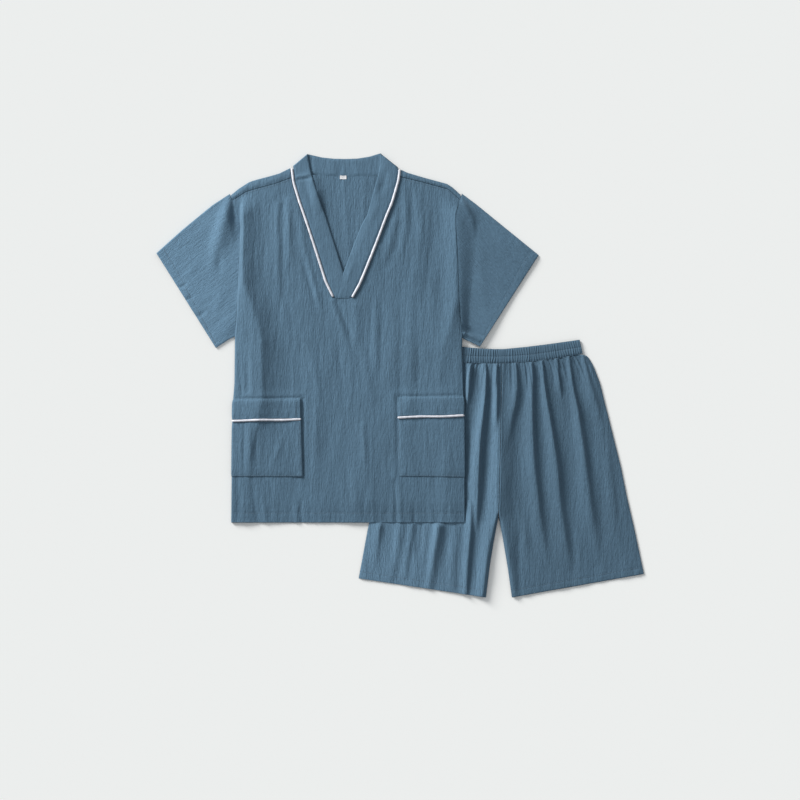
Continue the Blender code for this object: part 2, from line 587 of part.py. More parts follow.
def leg_height(u, v, x, y):
    """Middle of the cloth of a front leg: u from the middle seam to the side, v from hem to waistband."""
    side = min(1.0, min(u / 0.03, (1 - u) / 0.045) if v > 0.3 else min(u / 0.05, (1 - u) / 0.045))
    level = 2.1 + 0.5 * smooth(v)
    near = smooth((v - 0.25) / 0.7)
    gathers = 2.6 * near
    for fold in GATHERS:
        reach = smooth((v - (1 - fold["length"])) / (0.75 * fold["length"]))
        place = fold["share"] + fold["drift"] * (1 - v)
        gathers -= fold["depth"] * reach * math.exp(-(((u - place) / fold["width"]) ** 2))
    bumps = fold_height(LEG_FOLDS, x, y) * (1 - near)
    height = SECOND + (level + bumps) * math.sqrt(1 - (1 - side) ** 2) + gathers * min(1, side + 0.3)
    visible = smooth((x - 143) / 26)
    return max(SECOND, min(height, 5.9 + 6 * visible))


def leg(name, side_line, middle_line, hem, mirrored):
    waist = []
    for t in np.linspace(0, 1, 13):
        x, y = along(WAIST_BOTTOM, t)
        waist.append((x, y - 1.6))
    points = {}
    lows = {}
    rows = []
    for i, v in enumerate(LEG_SHARES):
        keys = []
        middle = along(middle_line, v)
        side = along(side_line, v)
        for j, u in enumerate(LEG_COLUMNS):
            top_x = middle_line[-1][0] + (side_line[-1][0] - middle_line[-1][0]) * u
            high = np.array((top_x, np.interp(top_x, [p[0] for p in waist], [p[1] for p in waist])))
            high = high * (1 - smooth((u - 0.9) / 0.1)) + np.array(side_line[-1]) * smooth((u - 0.9) / 0.1)
            low = np.array(hem[0]) * (1 - u) + np.array(hem[1]) * u
            corners = ((1 - u) * (1 - v) * np.array(middle_line[0]) + u * (1 - v) * np.array(side_line[0])
                       + (1 - u) * v * np.array(middle_line[-1]) + u * v * np.array(side_line[-1]))
            place = (1 - v) * low + v * high + (1 - u) * middle + u * side - corners
            points[i, j] = Vector((place[0], place[1], leg_height(u, v, *place)))
            lows[i, j] = Vector((place[0], place[1] - 2.2 * smooth((v - 0.8) / 0.2), FIRST))
            keys.append((i, j))
        rows.append(keys)
    faces = grid_faces(rows)
    coarse = [row[0:1] + row[3:-3:4] + row[-1:] for row in rows[::2]]
    coarse_faces = grid_faces(coarse)
    if mirrored:
        faces = [face[::-1] for face in faces]
        coarse_faces = [face[::-1] for face in coarse_faces]
    wall(f"shorts_front_{name}", points, faces, -CLOTH / 2, CLOTH / 2)
    wall(f"shorts_back_{name}", lows, coarse_faces, -CLOTH / 2, CLOTH / 2)


leg("right", SHORTS_SIDE[::-1], [(234.2, -466.4), (226.2, -408.9), (215.7, -345.9), (206.8, -299), (214.3, 25.0)],
    (SHORTS_HEM_RIGHT, SHORTS_SIDE[-1]), False)
leg("left", SHORTS_SIDE_LEFT[::-1], [(179.8, -466.4), (188.4, -396.3), (196.8, -345.9), (205.3, -299), (212.9, 25.0)],
    (SHORTS_HEM_LEFT, SHORTS_SIDE_LEFT[-1]), True)

# The waistband: a flat ring with ribs across it and a stitched groove along its middle.
RING_TURN = 4
ring = {}
ring_high = {}
ring_rows = [[], [], []]
front_z = SEAM_Z
back_z = ELASTIC / 2 + RIB
turn = (front_z - back_z) / 2
stations = [(i / (2 * RIBS), 90, i % 2) for i in range(2 * RIBS + 1)]
stations += [(1, 90 - 180 * k / RING_TURN, 0) for k in range(1, RING_TURN)]
stations += [(1 - i / (2 * RIBS), -90, i % 2) for i in range(2 * RIBS + 1)]
stations += [(0, -90 - 180 * k / RING_TURN, 0) for k in range(1, RING_TURN)]
for n, (t, angle, rib) in enumerate(stations):
    angle = math.radians(angle)
    bottom = along(WAIST_BOTTOM, 0.006 + 0.988 * t)
    top = along(WAIST_TOP, 0.006 + 0.988 * t)
    for row, share in enumerate((0, 0.46, 1)):
        place = bottom * (1 - share) + top * share
        key = (n, row)
        ring[key] = Vector((place[0] + turn * math.cos(angle), place[1],
                            back_z + turn + turn * math.sin(angle)))
        ring_high[key] = ELASTIC / 2 + (RIB * rib if row != 1 else -0.3)
        ring_rows[row].append(key)
wall("waistband", ring, grid_faces(ring_rows, closed=True), -ELASTIC / 2, ring_high, angle=70)
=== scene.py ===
"""A short-sleeve top with a V neck band, piping and patch pockets, laid flat over the left half of a pair of
gathered shorts. Lengths are millimetres in the working arrays and metres in every mesh."""

import math

import bpy
import numpy as np
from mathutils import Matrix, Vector


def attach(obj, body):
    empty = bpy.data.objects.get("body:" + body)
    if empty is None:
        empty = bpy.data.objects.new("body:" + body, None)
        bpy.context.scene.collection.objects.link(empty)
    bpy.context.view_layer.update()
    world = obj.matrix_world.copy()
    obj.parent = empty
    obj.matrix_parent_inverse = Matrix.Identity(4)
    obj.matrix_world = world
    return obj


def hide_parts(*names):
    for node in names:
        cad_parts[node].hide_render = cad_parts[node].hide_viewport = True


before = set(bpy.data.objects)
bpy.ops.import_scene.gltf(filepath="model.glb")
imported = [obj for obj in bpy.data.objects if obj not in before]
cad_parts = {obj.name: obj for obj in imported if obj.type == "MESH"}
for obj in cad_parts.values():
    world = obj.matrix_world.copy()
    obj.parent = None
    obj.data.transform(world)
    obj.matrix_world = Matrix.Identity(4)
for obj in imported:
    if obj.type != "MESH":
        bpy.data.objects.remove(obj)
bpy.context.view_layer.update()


# Camera, floor and light.
# The camera looks straight down, 5 m above the floor, and sees 1.68 m of it.
# A low soft sun from the upper left draws the folds, and a pale sky fills the shadows.
CAMERA_HEIGHT, SEEN_WIDTH = 5.0, 1.68
camera = bpy.data.objects.new("camera", bpy.data.cameras.new("camera"))
camera.data.sensor_width = 36
camera.data.lens = 36 * CAMERA_HEIGHT / SEEN_WIDTH
camera.data.clip_end = 60
camera.location = (-0.0006, -0.0519, CAMERA_HEIGHT)
bpy.context.scene.collection.objects.link(camera)
bpy.context.scene.camera = camera


def new_material(name, **inputs):
    """A material whose Principled shader has these inputs set, with _ for each space of their names."""
    material = bpy.data.materials.new(name)
    material.use_nodes = True
    set_inputs(material.node_tree.nodes["Principled BSDF"], **inputs)
    return material


def set_inputs(node, **inputs):
    for label, value in inputs.items():
        node.inputs[label.replace("_", " ")].default_value = value


floor_mesh = bpy.data.meshes.new("floor")
corners = [(-9, -9, -0.0002), (9, -9, -0.0002), (9, 9, -0.0002), (-9, 9, -0.0002)]
floor_mesh.from_pydata(corners, [], [(0, 1, 2, 3)])
floor_mesh.materials.append(
    new_material("floor", Base_Color=(0.93, 0.945, 0.935, 1), Roughness=0.9, Specular_IOR_Level=0.1))
floor = bpy.data.objects.new("floor", floor_mesh)
bpy.context.scene.collection.objects.link(floor)

sun = bpy.data.objects.new("sun", bpy.data.lights.new("sun", "SUN"))
sun.data.energy = 4.05
sun.data.angle = math.radians(22)
sun.data.color = (1.0, 0.985, 0.965)
sun.rotation_euler = (math.radians(69), 0, math.radians(-135))
bpy.context.scene.collection.objects.link(sun)

sky = bpy.data.worlds.new("sky")
sky.use_nodes = True
set_inputs(sky.node_tree.nodes["Background"], Color=(0.95, 0.975, 1.0, 1), Strength=0.46)
bpy.context.scene.world = sky
bpy.context.scene.view_settings.view_transform = "Standard"


def area_lamp(name, watts, place, way):
    """A soft lamp, and the collection of the pieces that it lights."""
    lamp = bpy.data.objects.new(name, bpy.data.lights.new(name, "AREA"))
    lamp.data.energy = watts
    lamp.data.size = 0.35
    lamp.location = place
    lamp.rotation_mode = "QUATERNION"
    lamp.rotation_quaternion = Vector(way).to_track_quat("-Z", "Y")
    bpy.context.scene.collection.objects.link(lamp)
    lamp.light_linking.receiver_collection = bpy.data.collections.new("lit_by_the_" + name)
    return lamp.light_linking.receiver_collection


# One lamp lights all the cloth. A lower one lights the left sleeve and leg, which are paler on the picture.
lit = area_lamp("side_lamp", 15, (-1.25, 0.85, 0.60), (1.25, -0.85, -0.60))
low_lit = area_lamp("low_lamp", 12, (-1.0, -0.85, 0.60), (1.0, 0.75, -0.60))


# The front of the top.
# One sheet with a V cut out of it: rolled down at both sides, hemmed along the bottom and lifted where it
# lies over the shorts. This section also makes the tools that every cloth piece uses.
MM_PER_PIXEL = 2.1
ORIGIN_PIXEL = (400.3, 375.3)


def spots(*pixels):
    """Places on the floor, mm, drawn as places on the 800 by 800 picture."""
    return [((px - ORIGIN_PIXEL[0]) * MM_PER_PIXEL, (ORIGIN_PIXEL[1] - py) * MM_PER_PIXEL)
            for px, py in pixels]


def down_the_picture(y, rows, values):
    """A value at the heights y, from values given at rows of the picture."""
    return np.interp(y, [(ORIGIN_PIXEL[1] - py) * MM_PER_PIXEL for py in rows][::-1], values[::-1])


def smooth(t):
    t = np.clip(t, 0.0, 1.0)
    return t * t * (3 - 2 * t)


def bell(away, width):
    return np.exp(-((away / width) ** 2))


def path(points, soft=0.012):
    """A drawn line with its corners eased: gives the place at a share of its length."""
    points = np.array(points, float)
    run = np.concatenate([[0], np.cumsum(np.hypot(*np.diff(points[:, :2], axis=0).T))])
    share = np.linspace(0, 1, 801)
    line = np.stack([np.interp(share * run[-1], run, points[:, k]) for k in range(points.shape[1])], 1)
    width = max(1, int(soft * 800))
    kernel = np.hanning(2 * width + 3)[1:-1]
    kernel /= kernel.sum()
    padded = np.concatenate([2 * line[0] - line[width:0:-1], line, 2 * line[-1] - line[-2:-width - 2:-1]])
    eased = np.stack([np.convolve(padded[:, k], kernel, "valid") for k in range(line.shape[1])], 1)
    return lambda t: np.stack([np.interp(t, share, eased[:, k]) for k in range(line.shape[1])], -1)


def crossing(line, y):
    """Where a line that runs up or down lies at the heights y."""
    line = line(np.linspace(0, 1, 400))
    line = line if line[0, 1] < line[-1, 1] else line[::-1]
    return np.interp(y, line[:, 1], line[:, 0])


def patch(bottom, top, left, right, us, vs):
    """Places of a panel inside four drawn edges, a row for each share up and a column for each across."""
    u = us[None, :, None]
    v = vs[:, None, None]
    b, t = bottom(us)[None], top(us)[None]
    l, r = left(vs)[:, None], right(vs)[:, None]
    ends = np.array([0.0, 1.0])
    low, high = bottom(ends), top(ends)
    corners = (1 - v) * ((1 - u) * low[0] + u * low[1]) + v * ((1 - u) * high[0] + u * high[1])
    return (1 - v) * b + v * t + (1 - u) * l + u * r - corners


def unevenness(x, y, wide, high, seed, turn=0.0):
    """Smooth random height between -1 and 1 with bumps of a given size, turned by an angle."""
    table = np.random.default_rng(seed).uniform(-1, 1, (256, 256))
    c, s = math.cos(turn), math.sin(turn)
    u = (x * c + y * s) / wide + 500.0
    v = (-x * s + y * c) / high + 500.0
    i, j = np.floor(u).astype(int), np.floor(v).astype(int)
    fu, fv = smooth(u - i), smooth(v - j)
    near = table[i % 256, j % 256] * (1 - fu) + table[(i + 1) % 256, j % 256] * fu
    far = table[i % 256, (j + 1) % 256] * (1 - fu) + table[(i + 1) % 256, (j + 1) % 256] * fu
    return near * (1 - fv) + far * fv


def ripples(x, y, *layers):
    """Sum of uneven layers, each with its height, then the width, length, seed and turn of its bumps."""
    return sum(height * unevenness(x, y, *layer) for height, *layer in layers)


def crease(places, width, height, steep=1.0):
    """A fold: a line on the picture, with its width and its height in mm along the way.
    A line drawn downwards can be steep: its right flank is narrower by that factor, which can change too."""
    t = np.linspace(0, 1, 40)
    steep = np.atleast_1d(steep)
    along = [np.interp(t, np.linspace(0, 1, len(values)), values) for values in (height, width, steep)]
    return path(spots(*places), 0.06)(t), *along, 3.2 * max(width) * max(1.0, *steep)


def creases(x, y, table):
    """Height of the folds of a table at the places x, y."""
    total = np.zeros_like(x)
    for line, heights, widths, flanks, reach in table:
        near = ((x > line[:, 0].min() - reach) & (x < line[:, 0].max() + reach)
                & (y > line[:, 1].min() - reach) & (y < line[:, 1].max() + reach))
        px, py = x[near], y[near]
        if not len(px):
            continue
        best = np.full(px.shape, 1e9)
        height = np.zeros(px.shape)
        width = np.ones(px.shape)
        for k in range(39):
            ax, ay = line[k]
            dx, dy = line[k + 1] - line[k]
            t = np.clip(((px - ax) * dx + (py - ay) * dy) / (dx * dx + dy * dy + 1e-9), 0, 1)
            away = np.hypot(px - ax - t * dx, py - ay - t * dy)
            closer = away < best
            best = np.where(closer, away, best)
            height = np.where(closer, heights[k] + (heights[k + 1] - heights[k]) * t, height)
            flank = np.where(dx * (py - ay) > dy * (px - ax), flanks[k], 1.0)
            width = np.where(closer, (widths[k] + (widths[k + 1] - widths[k]) * t) * flank, width)
        total[near] += height * bell(best, width)
    return total


SHORTS_OUTLINE = np.array(
    [(45, 70), (87, 62), (131.5, 59), (164.6, 55.9), (194.7, 54.4), (216.9, 54.4), (265.2, 59), (315.4, 65.3),
     (376.7, 74.1), (384.4, 43), (393.8, 39.5), (405.7, 18.7), (419.4, -17.4), (438.3, -93.9),
     (463.5, -194.7), (490.8, -320.7), (511.4, -417.1), (234.2, -466.4), (205.8, -299), (179.8, -466.4),
     (-87.4, -426.4), (-67.8, -320.7), (-40.5, -194.7), (-15.3, -93.9), (3.6, -17.4), (17.3, 18.7),
     (29.2, 39.5), (38.6, 43)])
SHORTS_LIFT, LIFT_RUNS_OUT = 4.2, 125


def lift(x, y):
    """How far the shorts push up what lies on them: less towards the hem, and running out beside them."""
    inside = np.zeros(x.shape, bool)
    nearest = np.full(x.shape, 1e9)
    for (ax, ay), (bx, by) in zip(SHORTS_OUTLINE, np.roll(SHORTS_OUTLINE, -1, axis=0)):
        if ay != by:
            inside ^= ((ay > y) != (by > y)) & (x < ax + (y - ay) * (bx - ax) / (by - ay))
        t = np.clip(((x - ax) * (bx - ax) + (y - ay) * (by - ay)) / ((bx - ax) ** 2 + (by - ay) ** 2), 0, 1)
        nearest = np.minimum(nearest, np.hypot(x - ax - t * (bx - ax), y - ay - t * (by - ay)))
    beside = np.where(inside, 1.0, smooth(1 - nearest / LIFT_RUNS_OUT))
    return SHORTS_LIFT * (1 - 0.40 * smooth((-262 - y) / 46)) * beside


def cloth_sheet(name, points, keep=None, around=False, flip=False):
    """A mesh from rows of points in mm, all lit by the side lamp.
    keep says which faces exist, around joins the last column to the first."""
    rows, columns = points.shape[:2]
    last = columns if around else columns - 1
    r, c = np.meshgrid(np.arange(rows - 1), np.arange(last), indexing="ij")
    k = (c + 1) % columns
    faces = np.stack([r * columns + c, r * columns + k, (r + 1) * columns + k, (r + 1) * columns + c], -1)
    faces = faces[keep] if keep is not None else faces.reshape(-1, 4)
    if flip:
        faces = faces[:, ::-1]
    used, faces = np.unique(faces, return_inverse=True)
    faces = faces.reshape(-1, 4)
    places = points.reshape(-1, 3)[used] * 0.001
    mesh = bpy.data.meshes.new(name)
    mesh.vertices.add(len(places))
    mesh.vertices.foreach_set("co", places.astype(np.float32).ravel())
    mesh.loops.add(faces.size)
    mesh.loops.foreach_set("vertex_index", faces.astype(np.int32).ravel())
    mesh.polygons.add(len(faces))
    mesh.polygons.foreach_set("loop_start", np.arange(0, faces.size, 4, dtype=np.int32))
    mesh.polygons.foreach_set("use_smooth", np.ones(len(faces), bool))
    mesh.update(calc_edges=True)
    mesh.validate()
    piece = bpy.data.objects.new(name, mesh)
    bpy.context.scene.collection.objects.link(piece)
    lit.objects.link(piece)
    return piece


def cotton_group():
    """Washed crinkled cotton: threads, long slubs and small creases, along a grain that can be turned."""
    group = bpy.data.node_groups.new("washed_cotton", "ShaderNodeTree")
    nodes, links = group.nodes, group.links
    for label, kind, value in (("Colour", "NodeSocketColor", (0.1, 0.16, 0.22, 1)),
                               ("Grain", "NodeSocketFloat", 0.0), ("Crinkle", "NodeSocketFloat", 1.0)):
        socket = group.interface.new_socket(name=label, in_out="INPUT", socket_type=kind)
        socket.default_value = value
    group.interface.new_socket(name="Colour", in_out="OUTPUT", socket_type="NodeSocketColor")
    group.interface.new_socket(name="Normal", in_out="OUTPUT", socket_type="NodeSocketVector")
    entry, leave = nodes.new("NodeGroupInput"), nodes.new("NodeGroupOutput")
    where = nodes.new("ShaderNodeTexCoord")
    turn = nodes.new("ShaderNodeVectorRotate")
    turn.rotation_type = "Z_AXIS"
    links.new(where.outputs["Object"], turn.inputs["Vector"])
    links.new(entry.outputs["Grain"], turn.inputs["Angle"])

    def noise(scale, detail, rough=0.5, distort=0.0):
        stretch = nodes.new("ShaderNodeMapping")
        set_inputs(stretch, Scale=scale)
        links.new(turn.outputs["Vector"], stretch.inputs["Vector"])
        made = nodes.new("ShaderNodeTexNoise")
        set_inputs(made, Scale=1, Detail=detail, Roughness=rough, Distortion=distort)
        links.new(stretch.outputs["Vector"], made.inputs["Vector"])
        return made.outputs["Fac"]

    def threads(direction, scale):
        made = nodes.new("ShaderNodeTexWave")
        made.bands_direction = direction
        set_inputs(made, Scale=scale, Distortion=1.5, Detail=2)
        links.new(turn.outputs["Vector"], made.inputs["Vector"])
        return made.outputs["Fac"]

    def tinted(colour, pattern, swing, amount=1.0):
        spread = nodes.new("ShaderNodeMapRange")
        set_inputs(spread, From_Min=0.32, From_Max=0.68, To_Min=1 - swing, To_Max=1 + swing)
        links.new(pattern, spread.inputs["Value"])
        mix = nodes.new("ShaderNodeMix")
        mix.data_type, mix.blend_type = "RGBA", "MULTIPLY"
        set_inputs(mix, Factor=amount)
        links.new(colour, mix.inputs["A"])
        links.new(spread.outputs["Result"], mix.inputs["B"])
        return mix.outputs["Result"]

    def bump(height, distance, before=None, strength=None):
        made = nodes.new("ShaderNodeBump")
        set_inputs(made, Distance=distance, Strength=1.0)
        links.new(height, made.inputs["Height"])
        if strength is not None:
            links.new(strength, made.inputs["Strength"])
        if before is not None:
            links.new(before, made.inputs["Normal"])
        return made.outputs["Normal"]

    slubs = noise((520, 80, 520), 3, 0.6)
    weft_slubs = noise((60, 700, 60), 2, 0.6)
    broad = noise((14, 9, 14), 3)
    crinkle = noise((150, 21, 150), 4, 0.6, 0.35)
    small_crinkle = noise((360, 110, 360), 3, 0.6, 0.3)
    warp, weft = threads("X", 260), threads("Y", 230)

    tint = tinted(entry.outputs["Colour"], slubs, 0.07)
    tint = tinted(tint, weft_slubs, 0.04)
    tint = tinted(tint, broad, 0.05)
    links.new(tinted(tint, warp, 0.06, 0.8), leave.inputs["Colour"])

    normal = bump(crinkle, 0.0021, None, entry.outputs["Crinkle"])
    normal = bump(small_crinkle, 0.0014, normal, entry.outputs["Crinkle"])
    normal = bump(slubs, 0.0005, normal)
    normal = bump(warp, 0.00012, normal)
    links.new(bump(weft, 0.00012, normal), leave.inputs["Normal"])
    return group


cotton = cotton_group()


def cotton_material(name, colour, grain=0.0, crinkle=1.0):
    material = new_material(
        name, Roughness=0.88, Specular_IOR_Level=0.16, Sheen_Weight=0.08, Sheen_Roughness=0.5)
    nodes, links = material.node_tree.nodes, material.node_tree.links
    woven = nodes.new("ShaderNodeGroup")
    woven.node_tree = cotton
    set_inputs(woven, Colour=(*colour, 1), Grain=grain, Crinkle=crinkle)
    links.new(woven.outputs["Colour"], nodes["Principled BSDF"].inputs["Base Color"])
    links.new(woven.outputs["Normal"], nodes["Principled BSDF"].inputs["Normal"])
    return material


def dress(piece, material, slot, *solids):
    """Gives a piece its material, lets it stand for its solids and rides it on the one body. The slot
    argument is not used.
    """
    piece.data.materials.append(material)
    if solids:
        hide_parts(*solids)
    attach(piece, "root")


BLUE = (0.0755, 0.1395, 0.202)
blue = cotton_material("blue_cotton", BLUE)
thread = new_material("blue_thread", Base_Color=(0.074, 0.132, 0.190, 1), Roughness=0.6, Sheen_Weight=0.3)


def shade(part):
    return tuple(part * value for value in BLUE)


def sew(name, line, points, pitch=3.3, long=2.4, thick=0.36):
    """A row of short raised threads along a drawn line, each lying on the nearest place of a sheet."""
    line = np.array(line, float)
    run = np.concatenate([[0], np.cumsum(np.hypot(*np.diff(line[:, :2], axis=0).T))])
    cloth = points.reshape(-1, 3)
    shares = np.linspace(-1, 1, 5)
    size = thick * np.array([0.2, 0.85, 1.0, 0.85, 0.2])
    angles = np.linspace(0, 2 * math.pi, 6, endpoint=False)
    rings = []
    for middle in np.arange(pitch, run[-1] - pitch / 2, pitch):
        at = middle + shares * long / 2
        x, y = np.interp(at, run, line[:, 0]), np.interp(at, run, line[:, 1])
        under = cloth[np.argmin((cloth[:, 0] - x[2]) ** 2 + (cloth[:, 1] - y[2]) ** 2), 2]
        z = under + 0.22 - 0.3 * shares ** 2
        ahead = np.array([x[-1] - x[0], y[-1] - y[0]]) / math.hypot(x[-1] - x[0], y[-1] - y[0])
        wide, high = np.cos(angles)[None] * size[:, None], np.sin(angles)[None] * size[:, None]
        ring = [x[:, None] - ahead[1] * wide, y[:, None] + ahead[0] * wide, z[:, None] + high]
        rings.append(np.stack(ring, -1))
    keep = np.ones((len(rings) * len(shares) - 1, len(angles)), bool)
    keep[len(shares) - 1::len(shares)] = False
    dress(cloth_sheet(name, np.concatenate(rings), keep, around=True), thread, "cloth")


HEM_Y, NECK_FOOT_Y = -309.3, 162.4
HEM_DEPTH = 20
side_left = path([(-355.1, HEM_Y), (-353.4, -144.3), (-351.3, -56), (-348.2, -18.3), (-347.1, 81.7),
                  (-345.2, 125.8), (-343.9, 163)], 0.02)
side_right = path([(135.9, HEM_Y), (133.8, -93.9), (130.6, 32.1), (129.4, 104), (125.2, 163)], 0.02)
armhole_left = path([(-343.9, 163), (-340, 249.5), (-335.6, 311.4), (-337.5, 325), (-344.4, 342.3),
                     (-352.4, 366.4)], 0.04)
armhole_right = path([(125.2, 163), (121.2, 264.6), (117.4, 325), (118.7, 338.7), (127, 366.4)], 0.04)
neck_left = [(-140.9, 164.4), (-156.7, 196.8), (-169.5, 237.5), (-183.3, 280.4), (-197.4, 323.2),
             (-212.3, 366), (-224, 404.5), (-227.6, 434)]
neck_right = [(-101, 163.6), (-85.9, 190.3), (-74.1, 218.2), (-60.3, 252.4), (-45.2, 291.1), (-29.2, 333.9),
              (-17.6, 361.6), (-11.6, 381.6), (-4, 408), (-1.1, 428.4), (-1.9, 432)]
shoulder_left = path([(-352.4, 366.4), (-322.1, 385.4), (-303.9, 390.7), (-261, 402.4),
                      (-229.3, 414.2)], 0.02)
shoulder_right = path([(0.4, 416.0), (53, 403), (100.2, 390), (127, 366.4)], 0.02)

FRONT_CREASES = [
    # the groove between the armhole seam and the rolled edge, and the gaps round the pockets
    crease([(238.6, 195), (238.8, 205), (239.2, 214), (240, 224)], [5, 4, 3, 3], [-1.4, -1.6, -1.0, 0]),
    crease([(299, 395.6), (266, 396.2), (236, 396)], [9, 10, 9], [1.0, 1.2, 1.0], 0.3),
    crease([(461, 392.6), (430, 393.6), (399, 394)], [9, 10, 9], [0.9, 1.0, 0.9], 0.3),
    crease([(394.2, 396), (394.6, 440), (395.2, 478)], [7, 8, 8], [1.2, 1.2, 1.2], 0.35),
    crease([(303.2, 399), (303.4, 440), (303.4, 476)], [3.0, 3.0, 3.0], [-1.8, -1.8, -1.4]),
    crease([(238.5, 350), (240, 375), (241.8, 395)], [3, 3.4, 3], [0, -2.2, -2.4]),
    crease([(247, 350), (247.5, 372), (248, 392)], [3.4, 3.4, 3], [0, -1.4, -1.2]),
    crease([(253, 345), (252.5, 372), (253, 392)], [3.4, 3.6, 3.4], [0, 1.3, 1.2]),
    crease([(244.5, 422), (244, 450), (244.5, 476)], [3.2, 3.4, 3.2], [-0.8, -1.8, -0.8]),
    crease([(257.5, 428), (255.5, 446), (256.5, 470)], [4, 5.5, 4], [-0.6, -2.6, -0.4]),
    crease([(250, 424), (249.5, 450), (250, 472)], [4, 4.4, 4], [0.6, 1.5, 0.4]),
    crease([(286, 430), (279, 448), (271, 468)], [5, 6, 5], [0.2, 1.3, 0.2]),
    # folds that fan out from the neck and the V
    crease([(289, 200), (289, 238), (291, 262)], [6, 7, 7], [1.6, 2.4, 0.6]),
    crease([(277, 205), (277, 250), (278, 300)], [6, 7, 7], [1.4, 1.6, 0.8]),
    crease([(283.5, 205), (283, 250), (284, 300)], [5, 5, 6], [-1.2, -1.4, -0.6]),
    crease([(297, 205), (305, 250), (316, 290), (322, 312)], [7, 7, 6, 6], [1.2, 2.0, 2.4, 0.4]),
    crease([(303, 262), (312, 292), (318, 318)], [5, 5, 5], [-0.8, -1.8, -0.2]),
    crease([(316.5, 289), (317, 296), (317.3, 303)], [3.0, 3.6, 3.0], [0.2, 1.6, 0.1]),
    crease([(332, 300), (336, 313), (343, 330), (350, 360)], [5, 6, 8, 9], [1.2, 2.1, 1.5, 0]),
    crease([(338, 300), (342, 314), (349, 330), (356, 362)], [4, 5, 7, 8], [-1.0, -1.8, -1.4, 0]),
    crease([(305, 338), (312, 360), (318, 385), (316, 420), (315, 470)], [7, 8, 8, 8, 8], [0.6, 1.6, 1.4,
           1.8, 0.6]),
    crease([(376, 305), (376, 330), (375, 352), (378, 380)], [7, 8, 9, 9], [0.8, 2.2, 1.6, 0]),
    crease([(381.5, 305), (381.5, 330), (381, 356)], [6, 6, 6], [-0.6, -1.2, 0]),
    crease([(356, 306), (357, 330), (356, 366)], [7, 9, 10], [1.6, 1.4, 0]),
    crease([(363, 350), (366, 372), (372, 400)], [7, 8, 8], [0.8, 1.4, 0.6]),
    crease([(339, 350), (341, 372), (345, 400)], [6, 8, 8], [-1.0, -1.4, -0.4]),
    crease([(362, 425), (363.5, 440), (364.5, 460)], [5, 5, 5], [1.0, 1.8, 0.6]),
    crease([(394, 222), (389, 245), (382, 268)], [8, 9, 7], [1.2, 2.2, 0]),
    crease([(400, 225), (395, 248), (387, 272)], [6, 7, 6], [-0.8, -1.3, 0]),
    crease([(404.5, 188), (406, 215), (404, 240), (398, 262)], [7, 8, 8, 7], [1.2, 2.2, 1.8, 0]),
    crease([(411, 190), (412, 215), (410, 245)], [6, 6, 6], [-1.0, -1.4, 0]),
    crease([(421, 200), (421, 235), (414, 280)], [7, 7, 8], [0.8, 1.4, 0.8]),
    crease([(432, 215), (430, 250), (424, 300)], [7, 7, 8], [-0.6, -1.2, -0.6]),
    crease([(400, 300), (400, 340), (401, 400)], [8, 9, 9], [0, -1.4, -1.4]),
    crease([(416, 300), (417, 340), (418, 380)], [8, 9, 9], [-0.8, -1.4, -1.2]),
    # the lower part, between the pockets and at the hem
    crease([(399, 478), (400, 500), (400, 522)], [5, 5.5, 6.5], [1.0, 1.8, 2.2]),
    crease([(394, 480), (396, 505), (396.5, 522)], [4, 4.5, 5], [-1.2, -2.0, -2.0]),
    crease([(236, 478), (239, 500), (237, 518)], [6, 6, 6], [-1.6, -2.4, -1.6]),
    crease([(252, 480), (254, 500), (258, 522)], [5, 5, 5], [-1.0, -1.6, -1.4]),
    crease([(265, 480), (263, 500), (266, 522)], [5, 5, 5], [0.6, 1.4, 1.2]),
    crease([(297, 500), (296, 512), (297, 522)], [4.5, 5, 6], [0.4, 1.3, 1.5]),
    crease([(302, 500), (301, 512), (302, 522)], [3.5, 3.5, 4], [-0.8, -1.8, -1.5]),
    crease([(414, 500), (414, 512), (415, 522)], [3.5, 3.5, 4], [-0.4, -1.2, -1.2]),
    crease([(409, 500), (409, 512), (410, 522)], [4, 4, 5], [0.4, 1.1, 1.1]),
    crease([(430, 503), (431, 512), (432, 522)], [4, 5, 5], [0.4, 1.0, 1.2]),
    crease([(450, 500), (452, 512), (453, 522)], [5, 5, 6], [0.4, 1.2, 1.2]),
    crease([(352, 470), (356, 495), (356, 520)], [6, 7, 7], [0.4, 1.4, 1.0]),
    crease([(374, 478), (372, 500), (374, 522)], [6, 6, 6], [0.4, 1.2, 0.8])
]

# The sides swell: each has a crest that starts at the rolled edge and wanders inwards further down.
# The heights are those of the crest at rows of the picture, inward is how far its inner flank reaches.
CREST = {
    "left": {"line": path(spots((240.6, 178), (240.8, 250), (244, 285), (254, 310), (261, 340),
                               (262, 400), (256, 430), (249, 460),
                               (246, 500), (244, 530)), 0.012),
             "rows": [190, 250, 300, 340, 400, 430, 460, 530],
             "heights": [12.8, 14.6, 14.8, 14.4, 12.0, 8.6, 5.8, 4.4], "inward": 46},
    "right": {"line": path(spots((457, 178), (456.5, 300), (450, 330), (443, 350), (441, 400), (439, 440),
                                (441, 480), (445, 530)), 0.012),
              "rows": [190, 250, 300, 340, 400, 440, 530],
             "heights": [10.8, 11.4, 10.4, 6.4, 4.6, 4.0, 3.6], "inward": 40}}


